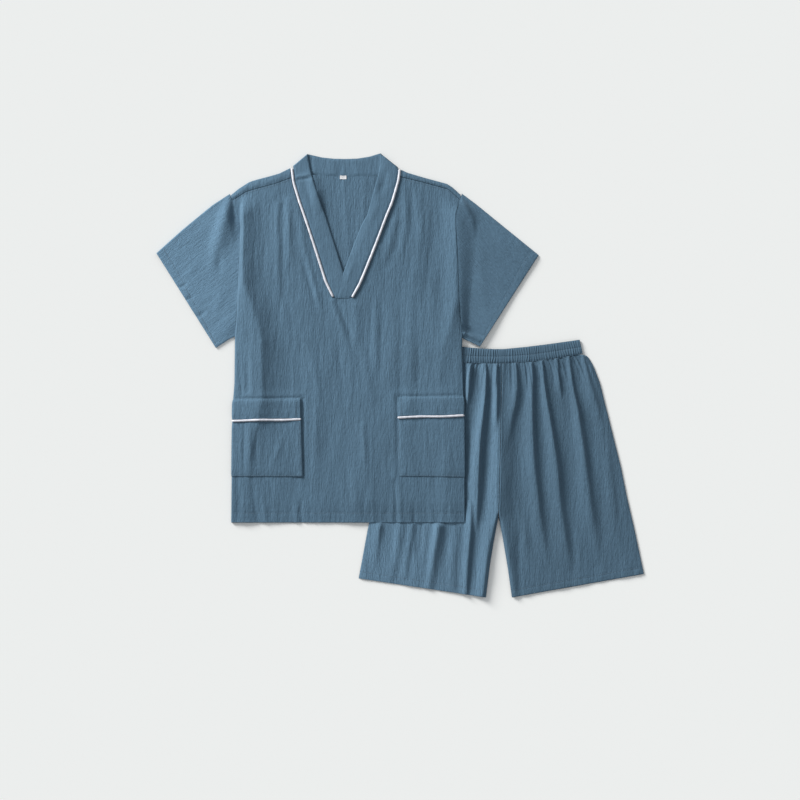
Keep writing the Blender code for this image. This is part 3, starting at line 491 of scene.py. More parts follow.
def swell(x, y, side, edge):
    """Height of a side's swell: an even slope up from the edge to the crest, then a hollow flank inwards."""
    crest = CREST[side]
    middle = crossing(crest["line"], y)
    away = (x - middle) * (1 if side == "left" else -1)
    high = down_the_picture(y, crest["rows"], crest["heights"])
    low = 3.8 + 4.0 * smooth((y - 60) / 80) if side == "left" else 2.6 + smooth(y / 60)
    rounded = np.hypot(away, 4) - 4
    outward = low + (high - low) * (1 - np.clip(rounded / np.clip(np.abs(middle - edge), 15, 60), 0, 1))
    inward = FLAT + (high - FLAT) * (1 - np.clip(rounded / crest["inward"], 0, 1)) ** 1.7
    return np.where(away < 0, outward, inward)


FLAT = 1.9
ROLL_AWAY, ROLL_HEIGHT = [0, 0.6, 2, 4, 7, 11, 16, 30, 3000], [0, 2.2, 4.6, 7.2, 10.0, 12.8, 15, 20, 900]


def front_height(x, y, left, right):
    """Middle of the front's cloth above the floor, left and right being the sides at this height."""
    from_side = np.minimum(x - left, right - x)
    over_sleeve = smooth((y - 60) / 60)
    # Towards the left shoulder the rolled edge leaves the armhole seam and runs straight up.
    from_rim = x - np.maximum(left, np.interp(y, [296, 318], [-360, -336.8]))
    left_roll = np.interp(from_rim, ROLL_AWAY, ROLL_HEIGHT) + 1.6 * over_sleeve
    right_roll = np.interp(right - x, ROLL_AWAY, ROLL_HEIGHT) + 6.0 * over_sleeve
    near = (np.minimum(left_roll, swell(x, y, "left", left))
            + np.minimum(right_roll, swell(x, y, "right", right)) - FLAT)
    hem = HEM_Y + HEM_DEPTH
    folds = creases(x, y, FRONT_CREASES) * smooth(from_side / 6)
    waves = ripples(x, y, (1.1, 46, 220, 3, 0.03), (0.75, 21, 140, 4, -0.04), (0.34, 8, 46, 5, 0.04),
                    (0.19, 4.8, 24, 6, -0.06))
    puckers = np.exp(-np.abs(y - hem) / 13) * ripples(x, y, (0.45, 6.5, 60, 7), (0.3, 13, 60, 8))
    turned = 0.15 * smooth((hem - y) / 1.5 + 0.5) - 0.45 * bell(y - hem, 1.8)
    height = 2.1 + near + (folds + waves + puckers) * smooth(from_side / 26)
    pile = lift(x, y)
    thin = (1.1 + 0.16 * pile) * smooth((-262 - y) / 46)
    return np.maximum(height + turned * smooth(from_side / 4) - thin, 1.6) + pile


def columns_between(width, step, fine=(0, 0.35, 0.9, 1.8, 3.0, 4.6, 6.6)):
    """Shares across a panel: fine where the cloth rolls over at the sides, even in between."""
    edge = np.array(fine) / width
    middle = np.linspace(edge[-1], 1 - edge[-1], int(width / step))
    return np.concatenate([edge[:-1], middle, 1 - edge[:-1][::-1]])


FRONT_STEP = 2.3
LEG_ROWS = 112
NECK_GAP = 2.2
SEAM_SHARE = 0.937
front_us = columns_between(469, FRONT_STEP)
v_left = int(np.argmin(np.abs(front_us - 0.4270)))
v_right = int(np.argmin(np.abs(front_us - 0.5235)))
front_vs = np.concatenate([[0, 0.4, 1.0, 1.8, 2.8], np.arange(4.8, 471.5, FRONT_STEP)]) / 472.3
front_vs[-1] = 1.0
rows = np.interp(front_vs, [0, 1], [HEM_Y, NECK_FOOT_Y])
left_x, right_x = crossing(side_left, rows), crossing(side_right, rows)
base = np.empty((len(rows), len(front_us), 2))
base[..., 0] = left_x[:, None] + (right_x - left_x)[:, None] * front_us[None]
base[..., 1] = rows[:, None]
base_z = front_height(base[..., 0], base[..., 1], left_x[:, None], right_x[:, None])
base_z[:2] -= np.array([1.1, 0.4])[:, None]
leg_vs = np.linspace(0, 1, LEG_ROWS + 1)[1:]


def front_leg(columns, outer, inner, seam, sign):
    """Rows of the front from the foot of the neck opening to a shoulder seam."""
    bottom = base[-1, columns]
    us = (bottom[:, 0] - bottom[0, 0]) / (bottom[-1, 0] - bottom[0, 0])
    inner_line = path([(x + sign * NECK_GAP, y) for x, y in inner], 0.02)
    end = seam(1.0 if sign < 0 else 0.0)
    start = bottom[-1] if sign < 0 else bottom[0]

    def inner_edge(t):
        t = np.asarray(t)[:, None]
        drawn = inner_line(t[:, 0] * SEAM_SHARE)
        return drawn + (1 - t) * (start - inner_line(0.0)) + t * (end - inner_line(SEAM_SHARE))

    def bottom_edge(t):
        return np.stack([np.interp(t, us, bottom[:, k]) for k in (0, 1)], -1)

    left, right = (outer, inner_edge) if sign < 0 else (inner_edge, outer)
    places = patch(bottom_edge, seam, left, right, us, leg_vs)
    x, y = places[..., 0], places[..., 1]
    side = outer(leg_vs)[:, 0][:, None]
    far = np.full_like(side, 999.0)
    z = front_height(x, y, side if sign < 0 else -far, far if sign < 0 else side)
    seam_share = smooth((leg_vs - 0.80) / 0.20)[:, None]
    from_neck = np.abs(x - (right if sign < 0 else left)(leg_vs)[:, 0][:, None])
    z = z * (1 - seam_share) + (4.7 + 0.35 * unevenness(x, y, 8, 14, 12)) * seam_share
    return np.concatenate([places, (z - 0.8 * bell(from_neck, 3.5))[..., None]], -1)


points = np.zeros((len(rows) + LEG_ROWS, len(front_us), 3))
points[:len(rows)] = np.concatenate([base, base_z[..., None]], -1)
left_columns, right_columns = slice(0, v_left + 1), slice(v_right, None)
points[len(rows):, left_columns] = front_leg(left_columns, armhole_left, neck_left, shoulder_left, -1)
points[len(rows):, right_columns] = front_leg(right_columns, armhole_right, neck_right, shoulder_right, 1)
keep = np.ones((points.shape[0] - 1, points.shape[1] - 1), bool)
keep[len(rows) - 1:, v_left:v_right] = False
piece = cloth_sheet("front", points, keep)
dress(piece, blue, "cloth", "top_front")
hem_line = np.stack([np.linspace(-352, 134, 300), np.full(300, HEM_Y + HEM_DEPTH)], 1)
sew("hem_stitches", hem_line, points[:40])
seam_shares = np.linspace(0.03, 0.97, 120)
sew("shoulder_stitches_left", shoulder_left(seam_shares) - (0, 3.2), points[-20:, left_columns])
sew("shoulder_stitches_right", shoulder_right(seam_shares) - (0, 3.2), points[-20:, right_columns])


# The back of the top.
# It lies on the floor, shows its inside through the neck opening, and rolls forward over the shoulders to
# the two shoulder seams.
neck_back = path([(-230.6, 435), (-206, 426.4), (-187.5, 421.4), (-150, 419.8), (-117, 419.6), (-80, 419.4),
                  (-46.8, 419.8), (-20, 425.4), (1.6, 431.8)], 0.01)
fold_left = path([(-357.6, 378.3), (-341.3, 391.6), (-318.8, 405.8), (-303.9, 410.6), (-273.8, 418.5),
                  (-255.6, 423.8), (-230.6, 436)], 0.02)
fold_right = path([(1.6, 432.8), (15.8, 426.1), (53.1, 415.2), (83.2, 407.2), (100.4, 402.6), (112, 395.2),
                   (128.6, 380.2)], 0.02)
back_left = path([(-354.4, HEM_Y), (-352.8, -144.3), (-350.7, -56), (-347.6, -18.3), (-345, 60),
                  (-342.5, 125.8), (-336.8, 249.5), (-332.4, 311.4), (-334.3, 325), (-341.2, 342.3),
                  (-355.2, 376)], 0.02)
back_right = path([(135.2, HEM_Y), (133.2, -93.9), (130, 32.1), (127, 90), (122, 163), (118, 264.6),
                   (114.2, 325), (115.5, 338.7), (126.2, 377)], 0.02)
BACK_CREASES = [
    crease([(313, 174), (315.5, 190), (321, 209)], [8, 13, 9], [3.0, 8.0, 0]),
    crease([(325, 175), (327, 215), (336, 260)], [7, 8, 8], [0.4, 0.9, 0.5]),
    crease([(345, 180), (347, 230), (349, 270)], [6, 7, 6], [0.5, 1.0, 0.3]),
    crease([(366, 178), (362, 220), (355, 250)], [6, 7, 6], [0.5, 0.8, 0.2]),
    crease([(336, 178), (337, 205), (338, 230)], [5, 5, 5], [-0.5, -0.5, 0])
]
# Shares across the top edge where the left shoulder ends and the right one starts, and the roll's radius.
LEFT_SHOULDER, RIGHT_SHOULDER, SHOULDER_ROLL = 0.258, 0.734, 2.0


def back_top(t):
    t = np.asarray(t)
    edge = neck_back(np.clip((t - LEFT_SHOULDER) / (RIGHT_SHOULDER - LEFT_SHOULDER), 0, 1))
    left = fold_left(np.clip(t / LEFT_SHOULDER, 0, 1)) - (0, SHOULDER_ROLL)
    right = fold_right(np.clip((t - RIGHT_SHOULDER) / 0.266, 0, 1)) - (0, SHOULDER_ROLL)
    edge[t < LEFT_SHOULDER] = left[t < LEFT_SHOULDER]
    edge[t > RIGHT_SHOULDER] = right[t > RIGHT_SHOULDER]
    return edge


def back_bottom(t):
    t = np.asarray(t)
    return np.stack([-354.4 + 489.6 * t, np.full_like(t, HEM_Y)], -1)


back_us = np.linspace(0, 1, 214)
flat = patch(back_bottom, back_top, back_left, back_right, back_us, np.linspace(0, 1, 330))
x, y = flat[..., 0], flat[..., 1]
shown = smooth((y - 180) / 40) * smooth((x + 225) / 20) * smooth((-20 - x) / 20)
crinkled = 0.5 + creases(x, y, BACK_CREASES) + ripples(x, y, (0.25, 12, 70, 21), (0.12, 5, 24, 22))
flat = np.concatenate([flat, (0.75 + lift(x, y) + shown * crinkled)[..., None]], -1)
BACK_ROWS, ROLL_ROWS, FLAP_ROWS = len(flat), 11, 12
points = np.zeros((BACK_ROWS + ROLL_ROWS + FLAP_ROWS, len(back_us), 3))
points[:BACK_ROWS] = flat
keep = np.ones((points.shape[0] - 1, points.shape[1] - 1), bool)
keep[BACK_ROWS - 1:] = False
for columns, seam in ((back_us <= 0.2545, shoulder_left), (back_us >= 0.7365, shoulder_right)):
    edge = flat[-1, columns]
    share = (edge[:, 0] - edge[0, 0]) / (edge[-1, 0] - edge[0, 0])
    target = seam(share) + (0, 1.1)
    flap = []
    for turn in np.radians(np.linspace(-80, 90, ROLL_ROWS)):
        place = edge[:, :2] + (0, 2.1 * math.cos(turn))
        flap.append(np.column_stack([place, np.full(len(edge), 2.75 + SHOULDER_ROLL * math.sin(turn))]))
    for step in np.linspace(0.08, 1, FLAP_ROWS):
        place = edge[:, :2] * (1 - step) + target * step
        x, y = place.T
        z = (4.75 + 1.1 * math.sin(math.pi * step) + 0.25 * unevenness(x, y, 30, 9, 24)
             + 0.35 * unevenness(x, y, 9, 12, 23) * math.sin(math.pi * min(1, step * 1.15)))
        flap.append(np.column_stack([place, z]))
    points[BACK_ROWS:, columns] = np.array(flap)
    keep[BACK_ROWS - 1:, columns[:-1] & columns[1:]] = True
piece = cloth_sheet("back", points, keep, flip=True)
dress(piece, cotton_material("blue_cotton_inside", shade(0.98)), "cloth", "top_back")


# The sleeves.
# Each is one piece folded into a flat tube: a fold above, a seam below, hemmed at the open cuff. The root
# passes under the rolled edge of the body.
SLEEVE_LENGTH, CUFF_DEPTH, TIP_SHARE = 178.0, 17.0, 0.0095
tip = np.array([0, 0.0004, 0.0014, 0.0032, 0.0060, TIP_SHARE])
upper_shares = np.concatenate([tip, np.linspace(0.015, 0.985, 128), 1 - tip[::-1]])
under_shares = np.concatenate([1 - tip[1:], np.linspace(0.97, 0.03, 26), tip[1:][::-1]])
# The shape across the upper layer, from the fold above to the seam below.
CROWN_SHARES = [0, 0.02, 0.09, 0.18, 0.30, 0.6, 0.93, 0.99, 1]
SLEEVES = {
    "left": {"root": [(-358.0, 380.6), (-351.0, 365), (-343, 342.3), (-336.2, 325), (-334.4, 311.4),
                      (-338.7, 249.5), (-342.4, 163), (-344.2, 125.8), (-346, 81.7)],
             "cuff": [(-511.9, 256.2), (-387.2, 57.4)],
             "upper": [(-358.0, 380.6), (-393.3, 357.4), (-427.0, 330.0), (-460.5, 302.4), (-511.9, 256.2)],
             "lower": [(-346, 81.7), (-358.6, 76.0), (-387.2, 57.4)],
             "crown": [2.4, 2.4, 1.5, 0.8, 0.5, 0.6, 0.45, 0.1, 0], "grain": 0.908, "over_shorts": 0.0,
             "rise": 0.4, "slope": 4.6, "lively": 1.0, "colour": BLUE},
    "right": {"root": [(129.4, 381.2), (125.4, 367), (117.2, 338.7), (116.1, 325), (119.8, 264.6),
                       (123.8, 163), (128, 104), (129.6, 78)],
              "cuff": [(290.6, 252.2), (167.0, 60.0)],
              "upper": [(129.4, 381.2), (156.9, 360.8), (290.6, 252.2)],
              "lower": [(129.6, 78), (167.0, 60.0)],
              "crown": [0, 0.55, 0.95, 1.0, 0.8, 0.6, 0.45, 0.1, 0], "grain": -0.785, "over_shorts": 0.8,
              "rise": 9.5, "slope": 0.0, "lively": 1.7, "colour": shade(1.06)}}
SLEEVE_CREASES = {
    "left": [
        crease([(229, 199), (226.5, 212), (223, 226), (218, 244), (214, 262), (212, 276)], [8, 13, 15, 15,
               13, 10], [2.6, 6.6, 7.6, 5.6, 2.6, 0], 1.2),
        crease([(234, 204), (233.5, 218), (234.5, 234)], [5, 7, 6], [-2.0, -3.0, -0.6]),
        crease([(221, 250), (219, 262), (220, 276)], [7, 8, 6], [-0.6, -1.8, 0]),
        crease([(222, 280), (220, 300), (214, 322)], [9, 10, 9], [0, 1.4, 0]),
        crease([(200, 262), (190, 272), (182, 280)], [8, 9, 6], [0, 1.2, 0.2]),
        crease([(177, 288), (182, 286.5), (188, 284)], [4, 4, 3], [-2.4, -2.2, 0]),
        crease([(186, 300), (190, 298.5), (196, 296)], [4.5, 4, 3], [-2.0, -2.0, 0]),
        crease([(197, 317), (202, 314), (208, 311)], [6, 5, 4], [-2.6, -2.4, 0]),
        crease([(218, 346), (226, 341), (233, 336.5)], [3.4, 3.6, 3], [1.4, 1.8, 1.2])
    ],
    "right": [
        crease([(455, 190), (464, 203), (472, 219), (475, 240)], [6, 9, 10, 8], [1.2, 2.6, 2.2, 0], 0.5),
        crease([(486, 215), (500, 236), (516, 262)], [12, 14, 10], [0, 0.9, 0]),
        crease([(478, 240), (482, 275), (486, 315)], [10, 12, 10], [0, 1.0, 0]),
        crease([(465, 333.5), (471, 336), (479, 341)], [3.4, 3.4, 3], [3.4, 3.4, 1.4]),
        crease([(462, 337), (467, 339), (474, 342.5)], [2.6, 2.6, 2.4], [-2.4, -2.2, -1.0]),
        crease([(462, 327), (470, 330), (482, 336)], [4, 4, 3.5], [-1.8, -2.0, -1.0])
    ]}


def sleeve(side, root, cuff, upper, lower, crown, grain, over_shorts, rise, slope, lively, colour):
    stations = np.concatenate([np.linspace(0, 0.985, 92), [0.9925, 0.997, 1.0]])
    shares = np.concatenate([upper_shares, under_shares])
    across = patch(path(root, 0.015), path(cuff), path(upper, 0.03), path(lower, 0.03), shares, stations)
    x, y = across[..., 0], across[..., 1]
    is_upper = np.arange(len(shares)) < len(upper_shares)
    u = stations[:, None]
    near = np.minimum(shares, 1 - shares)[None]
    rounding = np.sqrt(np.clip(1 - (1 - np.clip(near / TIP_SHARE, 0, 1)) ** 2, 0, 1))
    puff = 2.7 * smooth(u / 0.3) * (1 - 0.5 * u)
    shape = np.interp(shares, CROWN_SHARES, crown)
    roof = 3.0 + puff * shape[None] + rise * (1 - smooth(u / 0.30)) * smooth(near / 0.08)
    dipped = 1 - smooth((shares - 0.22) / 0.2)[None]
    roof = roof + slope * (1 - u) * (1 - dipped * (1 - smooth(u / 0.14))) * smooth(near / 0.12)
    waves = ripples(x, y, (0.45, 34, 90, 31, -grain), (0.14 * lively, 12, 50, 32, -grain),
                    (0.06 * lively, 5, 26, 33, -grain))
    hem_at = 1 - CUFF_DEPTH / SLEEVE_LENGTH
    to_hem = (u - hem_at) * SLEEVE_LENGTH
    puckers = np.exp(-np.abs(to_hem) / 9) * ripples(x, y, (0.3, 9, 9, 34), (0.14, 5, 5, 35))
    turned = 0.15 * smooth(to_hem / 1.6 + 0.5) - 0.4 * bell(to_hem, 1.7)
    fade = 1 - smooth((u - 0.86) / 0.14) * 0.45
    folds = (waves + creases(x, y, SLEEVE_CREASES[side])) * fade * smooth(u / 0.03 + 0.15)
    top = np.maximum(roof + smooth(near / 0.03) * (folds + puckers + turned), 2.4)
    low = 0.7
    middle = (low + top) / 2
    z = np.where(is_upper[None], middle + (top - middle) * rounding, middle - (middle - low) * rounding)
    end = np.zeros_like(u)
    end[-3:, 0] = [0.12, 0.4, 0.9]
    z = z + np.where(is_upper[None], -end, end * 0.4)
    points = np.stack([x, y, z + lift(x, y) * over_shorts], -1)
    piece = cloth_sheet(f"sleeve_{side}_cloth", points, around=True, flip=side == "left")
    material = cotton_material(f"blue_cotton_sleeve_{side}", colour, grain, 0.85)
    dress(piece, material, "cloth", f"sleeve_{side}")
    if side == "left":
        low_lit.objects.link(piece)
    row = int(np.argmin(np.abs(stations - hem_at)))
    columns = len(upper_shares)
    sew(f"cuff_stitches_{side}", across[row, 4:columns - 4], points[row - 3:row + 4, :columns])


for side, parts in SLEEVES.items():
    sleeve(side, **parts)


# The neck band.
# One doubled strip: up the left front, folded over at the shoulder, round the back of the neck where its
# inside shows, folded over again and down the right front, whose end covers the left one.
BAND_ROWS = {"front": 150, "turn": 9, "stand": 110}
band_left_outer = path([(-138.2, 161.9), (-154.0, 196.8), (-166.8, 237.5), (-180.6, 280.4), (-194.7, 323.2),
                        (-209.6, 366), (-221.2, 404.5), (-224.8, 438.5)], 0.02)
band_left_inner = path([(-104.2, 161.9), (-111.5, 190), (-119.3, 215.3), (-157.7, 336), (-165.5, 355.5),
                        (-178.5, 394.8), (-186.5, 420.8), (-189.8, 433.9), (-194.7, 464)], 0.012)
band_right_outer = path([(-103.8, 161.9), (-88.7, 190.3), (-76.9, 218.2), (-63.1, 252.4), (-48.0, 291.1),
                         (-32.0, 333.9), (-20.4, 361.6), (-14.4, 381.6), (-6.8, 408), (-4.0, 428.4),
                         (-5.2, 436)], 0.02)
band_right_inner = path([(-138.4, 161.9), (-127.1, 194.3), (-119.3, 214.8), (-103.1, 258.9), (-81.7, 314.6),
                         (-69.1, 336.6), (-62.2, 361.6), (-55.2, 387.7), (-46.4, 419.2), (-42.8, 440),
                         (-42.2, 465.4)], 0.012)
stand_seam = path([(-224.6, 438.5), (-206, 428), (-187.5, 420.8), (-150, 418.9), (-117, 418.6), (-80, 418.6),
                   (-46.8, 419.0), (-20, 427.3), (-5.4, 436)], 0.01)
stand_edge = path([(-194.7, 464), (-165, 457), (-140, 454.4), (-116, 453.8), (-90, 454.6), (-65, 458.5),
                   (-42.2, 465.4)], 0.01)
# The strip's inner edge is its fold, which rounds over; the outer edge runs into the seam at the piping.
across = np.linspace(0, 1, 23)
across_round = np.concatenate([across, [1.006, 1.010, 1.006]])
edge_drop = np.concatenate([-0.9 * np.exp(-((1 - across) * 42 / 1.6)), [-1.6, -2.4, -3.0]])
BAND_CREASES = [
    crease([(298, 177), (304, 176), (311, 174)], [3.4, 3.4, 3.0], [1.3, 1.6, 0.6]),
    crease([(298, 180), (305, 179.5), (311, 178)], [3, 3, 3], [-1.2, -1.3, -0.6]),
    crease([(312, 182), (314.5, 194), (319, 208)], [8, 9, 8], [1.4, 2.0, 0.8]),
    crease([(305, 184), (309, 196), (313, 210)], [5, 6, 6], [-1.0, -1.4, -0.4]),
    crease([(374, 172), (375.5, 182), (376, 196)], [8, 9, 8], [1.6, 2.6, 0.6]),
    crease([(385, 174), (384, 184), (379, 196)], [7, 7, 6], [-1.4, -2.0, -0.4]),
    crease([(311, 200), (312, 215), (316, 235)], [4, 5, 4], [0, -0.7, 0]),
    crease([(380, 190), (377, 205), (370, 225)], [4, 6, 5], [0, 0.7, 0]),
    crease([(352, 262), (350, 272), (346, 284)], [4, 5, 4], [0, 0.6, 0])
]
# Heights of the strip at shares of the way up.
BAND_HEIGHTS = {"left": ([0, 0.25, 0.6, 1], [3.2, 3.3, 3.9, 4.4]),
                "right": ([0, 0.3, 0.5, 1], [3.7, 5.4, 4.4, 4.2])}


def band_front(side, outer, inner):
    """Rows of the strip up one side of the V, then of its turn over the shoulder."""
    t = np.linspace(0, 1, BAND_ROWS["front"])
    a, b = outer(t)[:, None], inner(t)[:, None]
    places = a + (b - a) * across_round[None, :, None]
    x, y = places[..., 0], places[..., 1]
    z = np.interp(t, *BAND_HEIGHTS[side])[:, None] + 1.0 + edge_drop[None]
    waves = ripples(x, y, (0.3, 22, 34, 41), (0.16, 8, 13, 42), (0.09, 4.5, 9, 43))
    crinkled = creases(x, y, BAND_CREASES) + 0.8 + waves
    z = z + smooth(across_round[None] * 8) * crinkled
    z = z - 0.5 * bell(across_round * 44, 2.2)[None] - 0.8 * np.exp(-t * 90)[:, None]
    if side == "left":
        # The inner edge stands up beside the back of the neck and shades it.
        z = z + 4.2 * bell(t - 0.72, 0.13)[:, None] * np.clip(across_round, 0, 1)[None] ** 1.3
    else:
        z = z - 1.3 * smooth((across_round[None] - 0.66) / 0.34) - 0.5 * edge_drop[None]
    fold = (b - a)[-1, 0] / np.hypot(*(b - a)[-1, 0])
    way = np.array((-fold[1], fold[0])) * (1 if fold[0] > 0 else -1)
    turn = []
    for swing in np.radians(np.linspace(80, -80, BAND_ROWS["turn"])):
        place = places[-1] + way * 2.3 * (math.cos(swing) - 1) + way * 0.6
        turn.append(np.column_stack([place, 3.0 + 2.35 * math.sin(swing) + edge_drop * 0.25]))
    return np.stack([x, y, z], -1), np.array(turn)


left_strip, left_turn = band_front("left", band_left_outer, band_left_inner)
right_strip, right_turn = band_front("right", band_right_outer, band_right_inner)
t = np.linspace(0, 1, BAND_ROWS["stand"] + 2)[1:-1]
a, b = stand_seam(t)[:, None], stand_edge(t)[:, None]
places = a + (b - a) * across_round[None, :, None]
x, y = places[..., 0], places[..., 1]
body = smooth(across_round * 6) * smooth((1.01 - across_round) * 6)
gather = ripples(x, y, (0.55, 7, 60, 44), (0.30, 3.6, 30, 45), (0.35, 16, 60, 46))
z = 1.9 + 0.6 * body[None] + gather * body[None]
z = z - 0.35 * bell(across_round * 34, 2.0)[None] + edge_drop[None] * 0.35
z = np.clip(z, 0.35, 3.0)
z[:, -2:] -= (0.1, 0.2)
stand = np.stack([x, y, z], -1)
points = np.concatenate([left_strip, left_turn, stand, right_turn[::-1], right_strip[::-1]])
piece = cloth_sheet("neck_band", points)
dress(piece, cotton_material("blue_cotton_band", BLUE, 0.0, 0.55), "cloth", "collar_band")


# The piping.
# White cord covers beside the neck band and between the parts of each pocket: a slightly uneven round bead
# with the fine cross threads of its bias tape.
def patterned(name, kind, scales, ramp_places, colours, depths, **inputs):
    """A material with one texture in its colour and each texture's bump in its surface, fine ones first."""
    material = new_material(name, **inputs)
    nodes, links = material.node_tree.nodes, material.node_tree.links
    where = nodes.new("ShaderNodeTexCoord")
    normal = None
    for scale, depth in zip(scales, depths):
        pattern = nodes.new(kind)
        set_inputs(pattern, **scale)
        links.new(where.outputs["Object"], pattern.inputs["Vector"])
        bump = nodes.new("ShaderNodeBump")
        set_inputs(bump, Distance=depth)
        links.new(pattern.outputs["Fac"], bump.inputs["Height"])
        if normal is not None:
            links.new(normal, bump.inputs["Normal"])
        normal = bump.outputs["Normal"]
    ramp = nodes.new("ShaderNodeValToRGB")
    for element, place, colour in zip(ramp.color_ramp.elements, ramp_places, colours):
        element.position = place
        element.color = (*colour, 1)
    links.new(pattern.outputs["Fac"], ramp.inputs["Fac"])
    links.new(ramp.outputs["Color"], nodes["Principled BSDF"].inputs["Base Color"])
    links.new(normal, nodes["Principled BSDF"].inputs["Normal"])
    return material


white_piping = patterned(
    "white_piping", "ShaderNodeTexNoise", [{"Scale": 900, "Detail": 3}, {"Scale": 110, "Detail": 2}],
    (0.3, 0.7), [(0.44, 0.455, 0.50), (0.60, 0.61, 0.66)], (0.0003, 0.0009), Roughness=0.55, Sheen_Weight=0.2)


def bead(name, line, radius, seed, solid):
    """A round, slightly uneven cord along a line of points in mm, thinner towards both ends."""
    ahead = np.gradient(line, axis=0)
    ahead /= np.linalg.norm(ahead, axis=1)[:, None]
    side = np.cross(ahead, (0, 0, 1.0))
    side /= np.linalg.norm(side, axis=1)[:, None]
    up = np.cross(side, ahead)
    run = np.concatenate([[0], np.cumsum(np.linalg.norm(np.diff(line, axis=0), axis=1))])
    size = radius * (1 + ripples(run, run * 0, (0.07, 7, 50, seed), (0.04, 2.6, 50, seed + 1)))
    size *= np.clip(np.minimum(run, run[-1] - run) / 1.4 + 0.15, 0, 1) ** 0.5
    angles = np.linspace(0, 2 * math.pi, 16, endpoint=False)[None, :, None]
    ring = (side[:, None] * np.cos(angles) + up[:, None] * np.sin(angles)) * size[:, None, None]
    dress(cloth_sheet(name, line[:, None] + ring, around=True), white_piping, "piping", solid)


for side, line, low, high in (("left", neck_left, 4.2, 5.1), ("right", neck_right, 5.6, 5.2)):
    t = np.linspace(0, 1, 190)
    route = np.column_stack([path(line, 0.03)(t), low + (high - low) * t])
    bead(f"neck_cord_{side}", route, 2.6, 51, f"neck_piping_{side}")


# The size label.
# A small bare woven label under the back neck seam, a little uneven.
t = np.linspace(0, 1, 15)[:, None]
s = np.linspace(0, 1, 28)[None]
label_x = -126.8 + 13.6 * s + 0 * t
label_y = 411.6 + 7.4 * t + 0.25 * np.sin(9 * s)
label_z = 2.2 + 0.25 * np.sin(5 * s + 1) + 0.12 * np.cos(7 * t)
piece = cloth_sheet("woven_label", np.stack([label_x, label_y, label_z], -1))
label_tape = patterned(
    "label_tape", "ShaderNodeTexWave", [{"Scale": 420, "Distortion": 0.6}], (0, 1),
    [(0.52, 0.53, 0.55), (0.76, 0.76, 0.77)], (0.00015,), Roughness=0.6)
dress(piece, label_tape, "label", "size_label")


# The pockets.
# Patches that follow the front's own surface a little above it: a body, a piped seam and a deeper cuff, the
# outer edge caught in the side of the top.
def on_front(x, y, above):
    """Points on the front's surface, raised along its slope."""
    left, right = crossing(side_left, y), crossing(side_right, y)
    x = np.clip(x, left + 0.05, right - 0.05)
    z = front_height(x, y, left, right)
    step = 0.25
    slope = (front_height(np.minimum(x + step, right - 0.02), y, left, right)
             - front_height(np.maximum(x - step, left + 0.02), y, left, right)) / (2 * step)
    slope = np.clip(slope, -3, 3)
    length = np.sqrt(1 + slope ** 2)
    return np.stack([x - above * slope / length, y, z + above / length], -1)


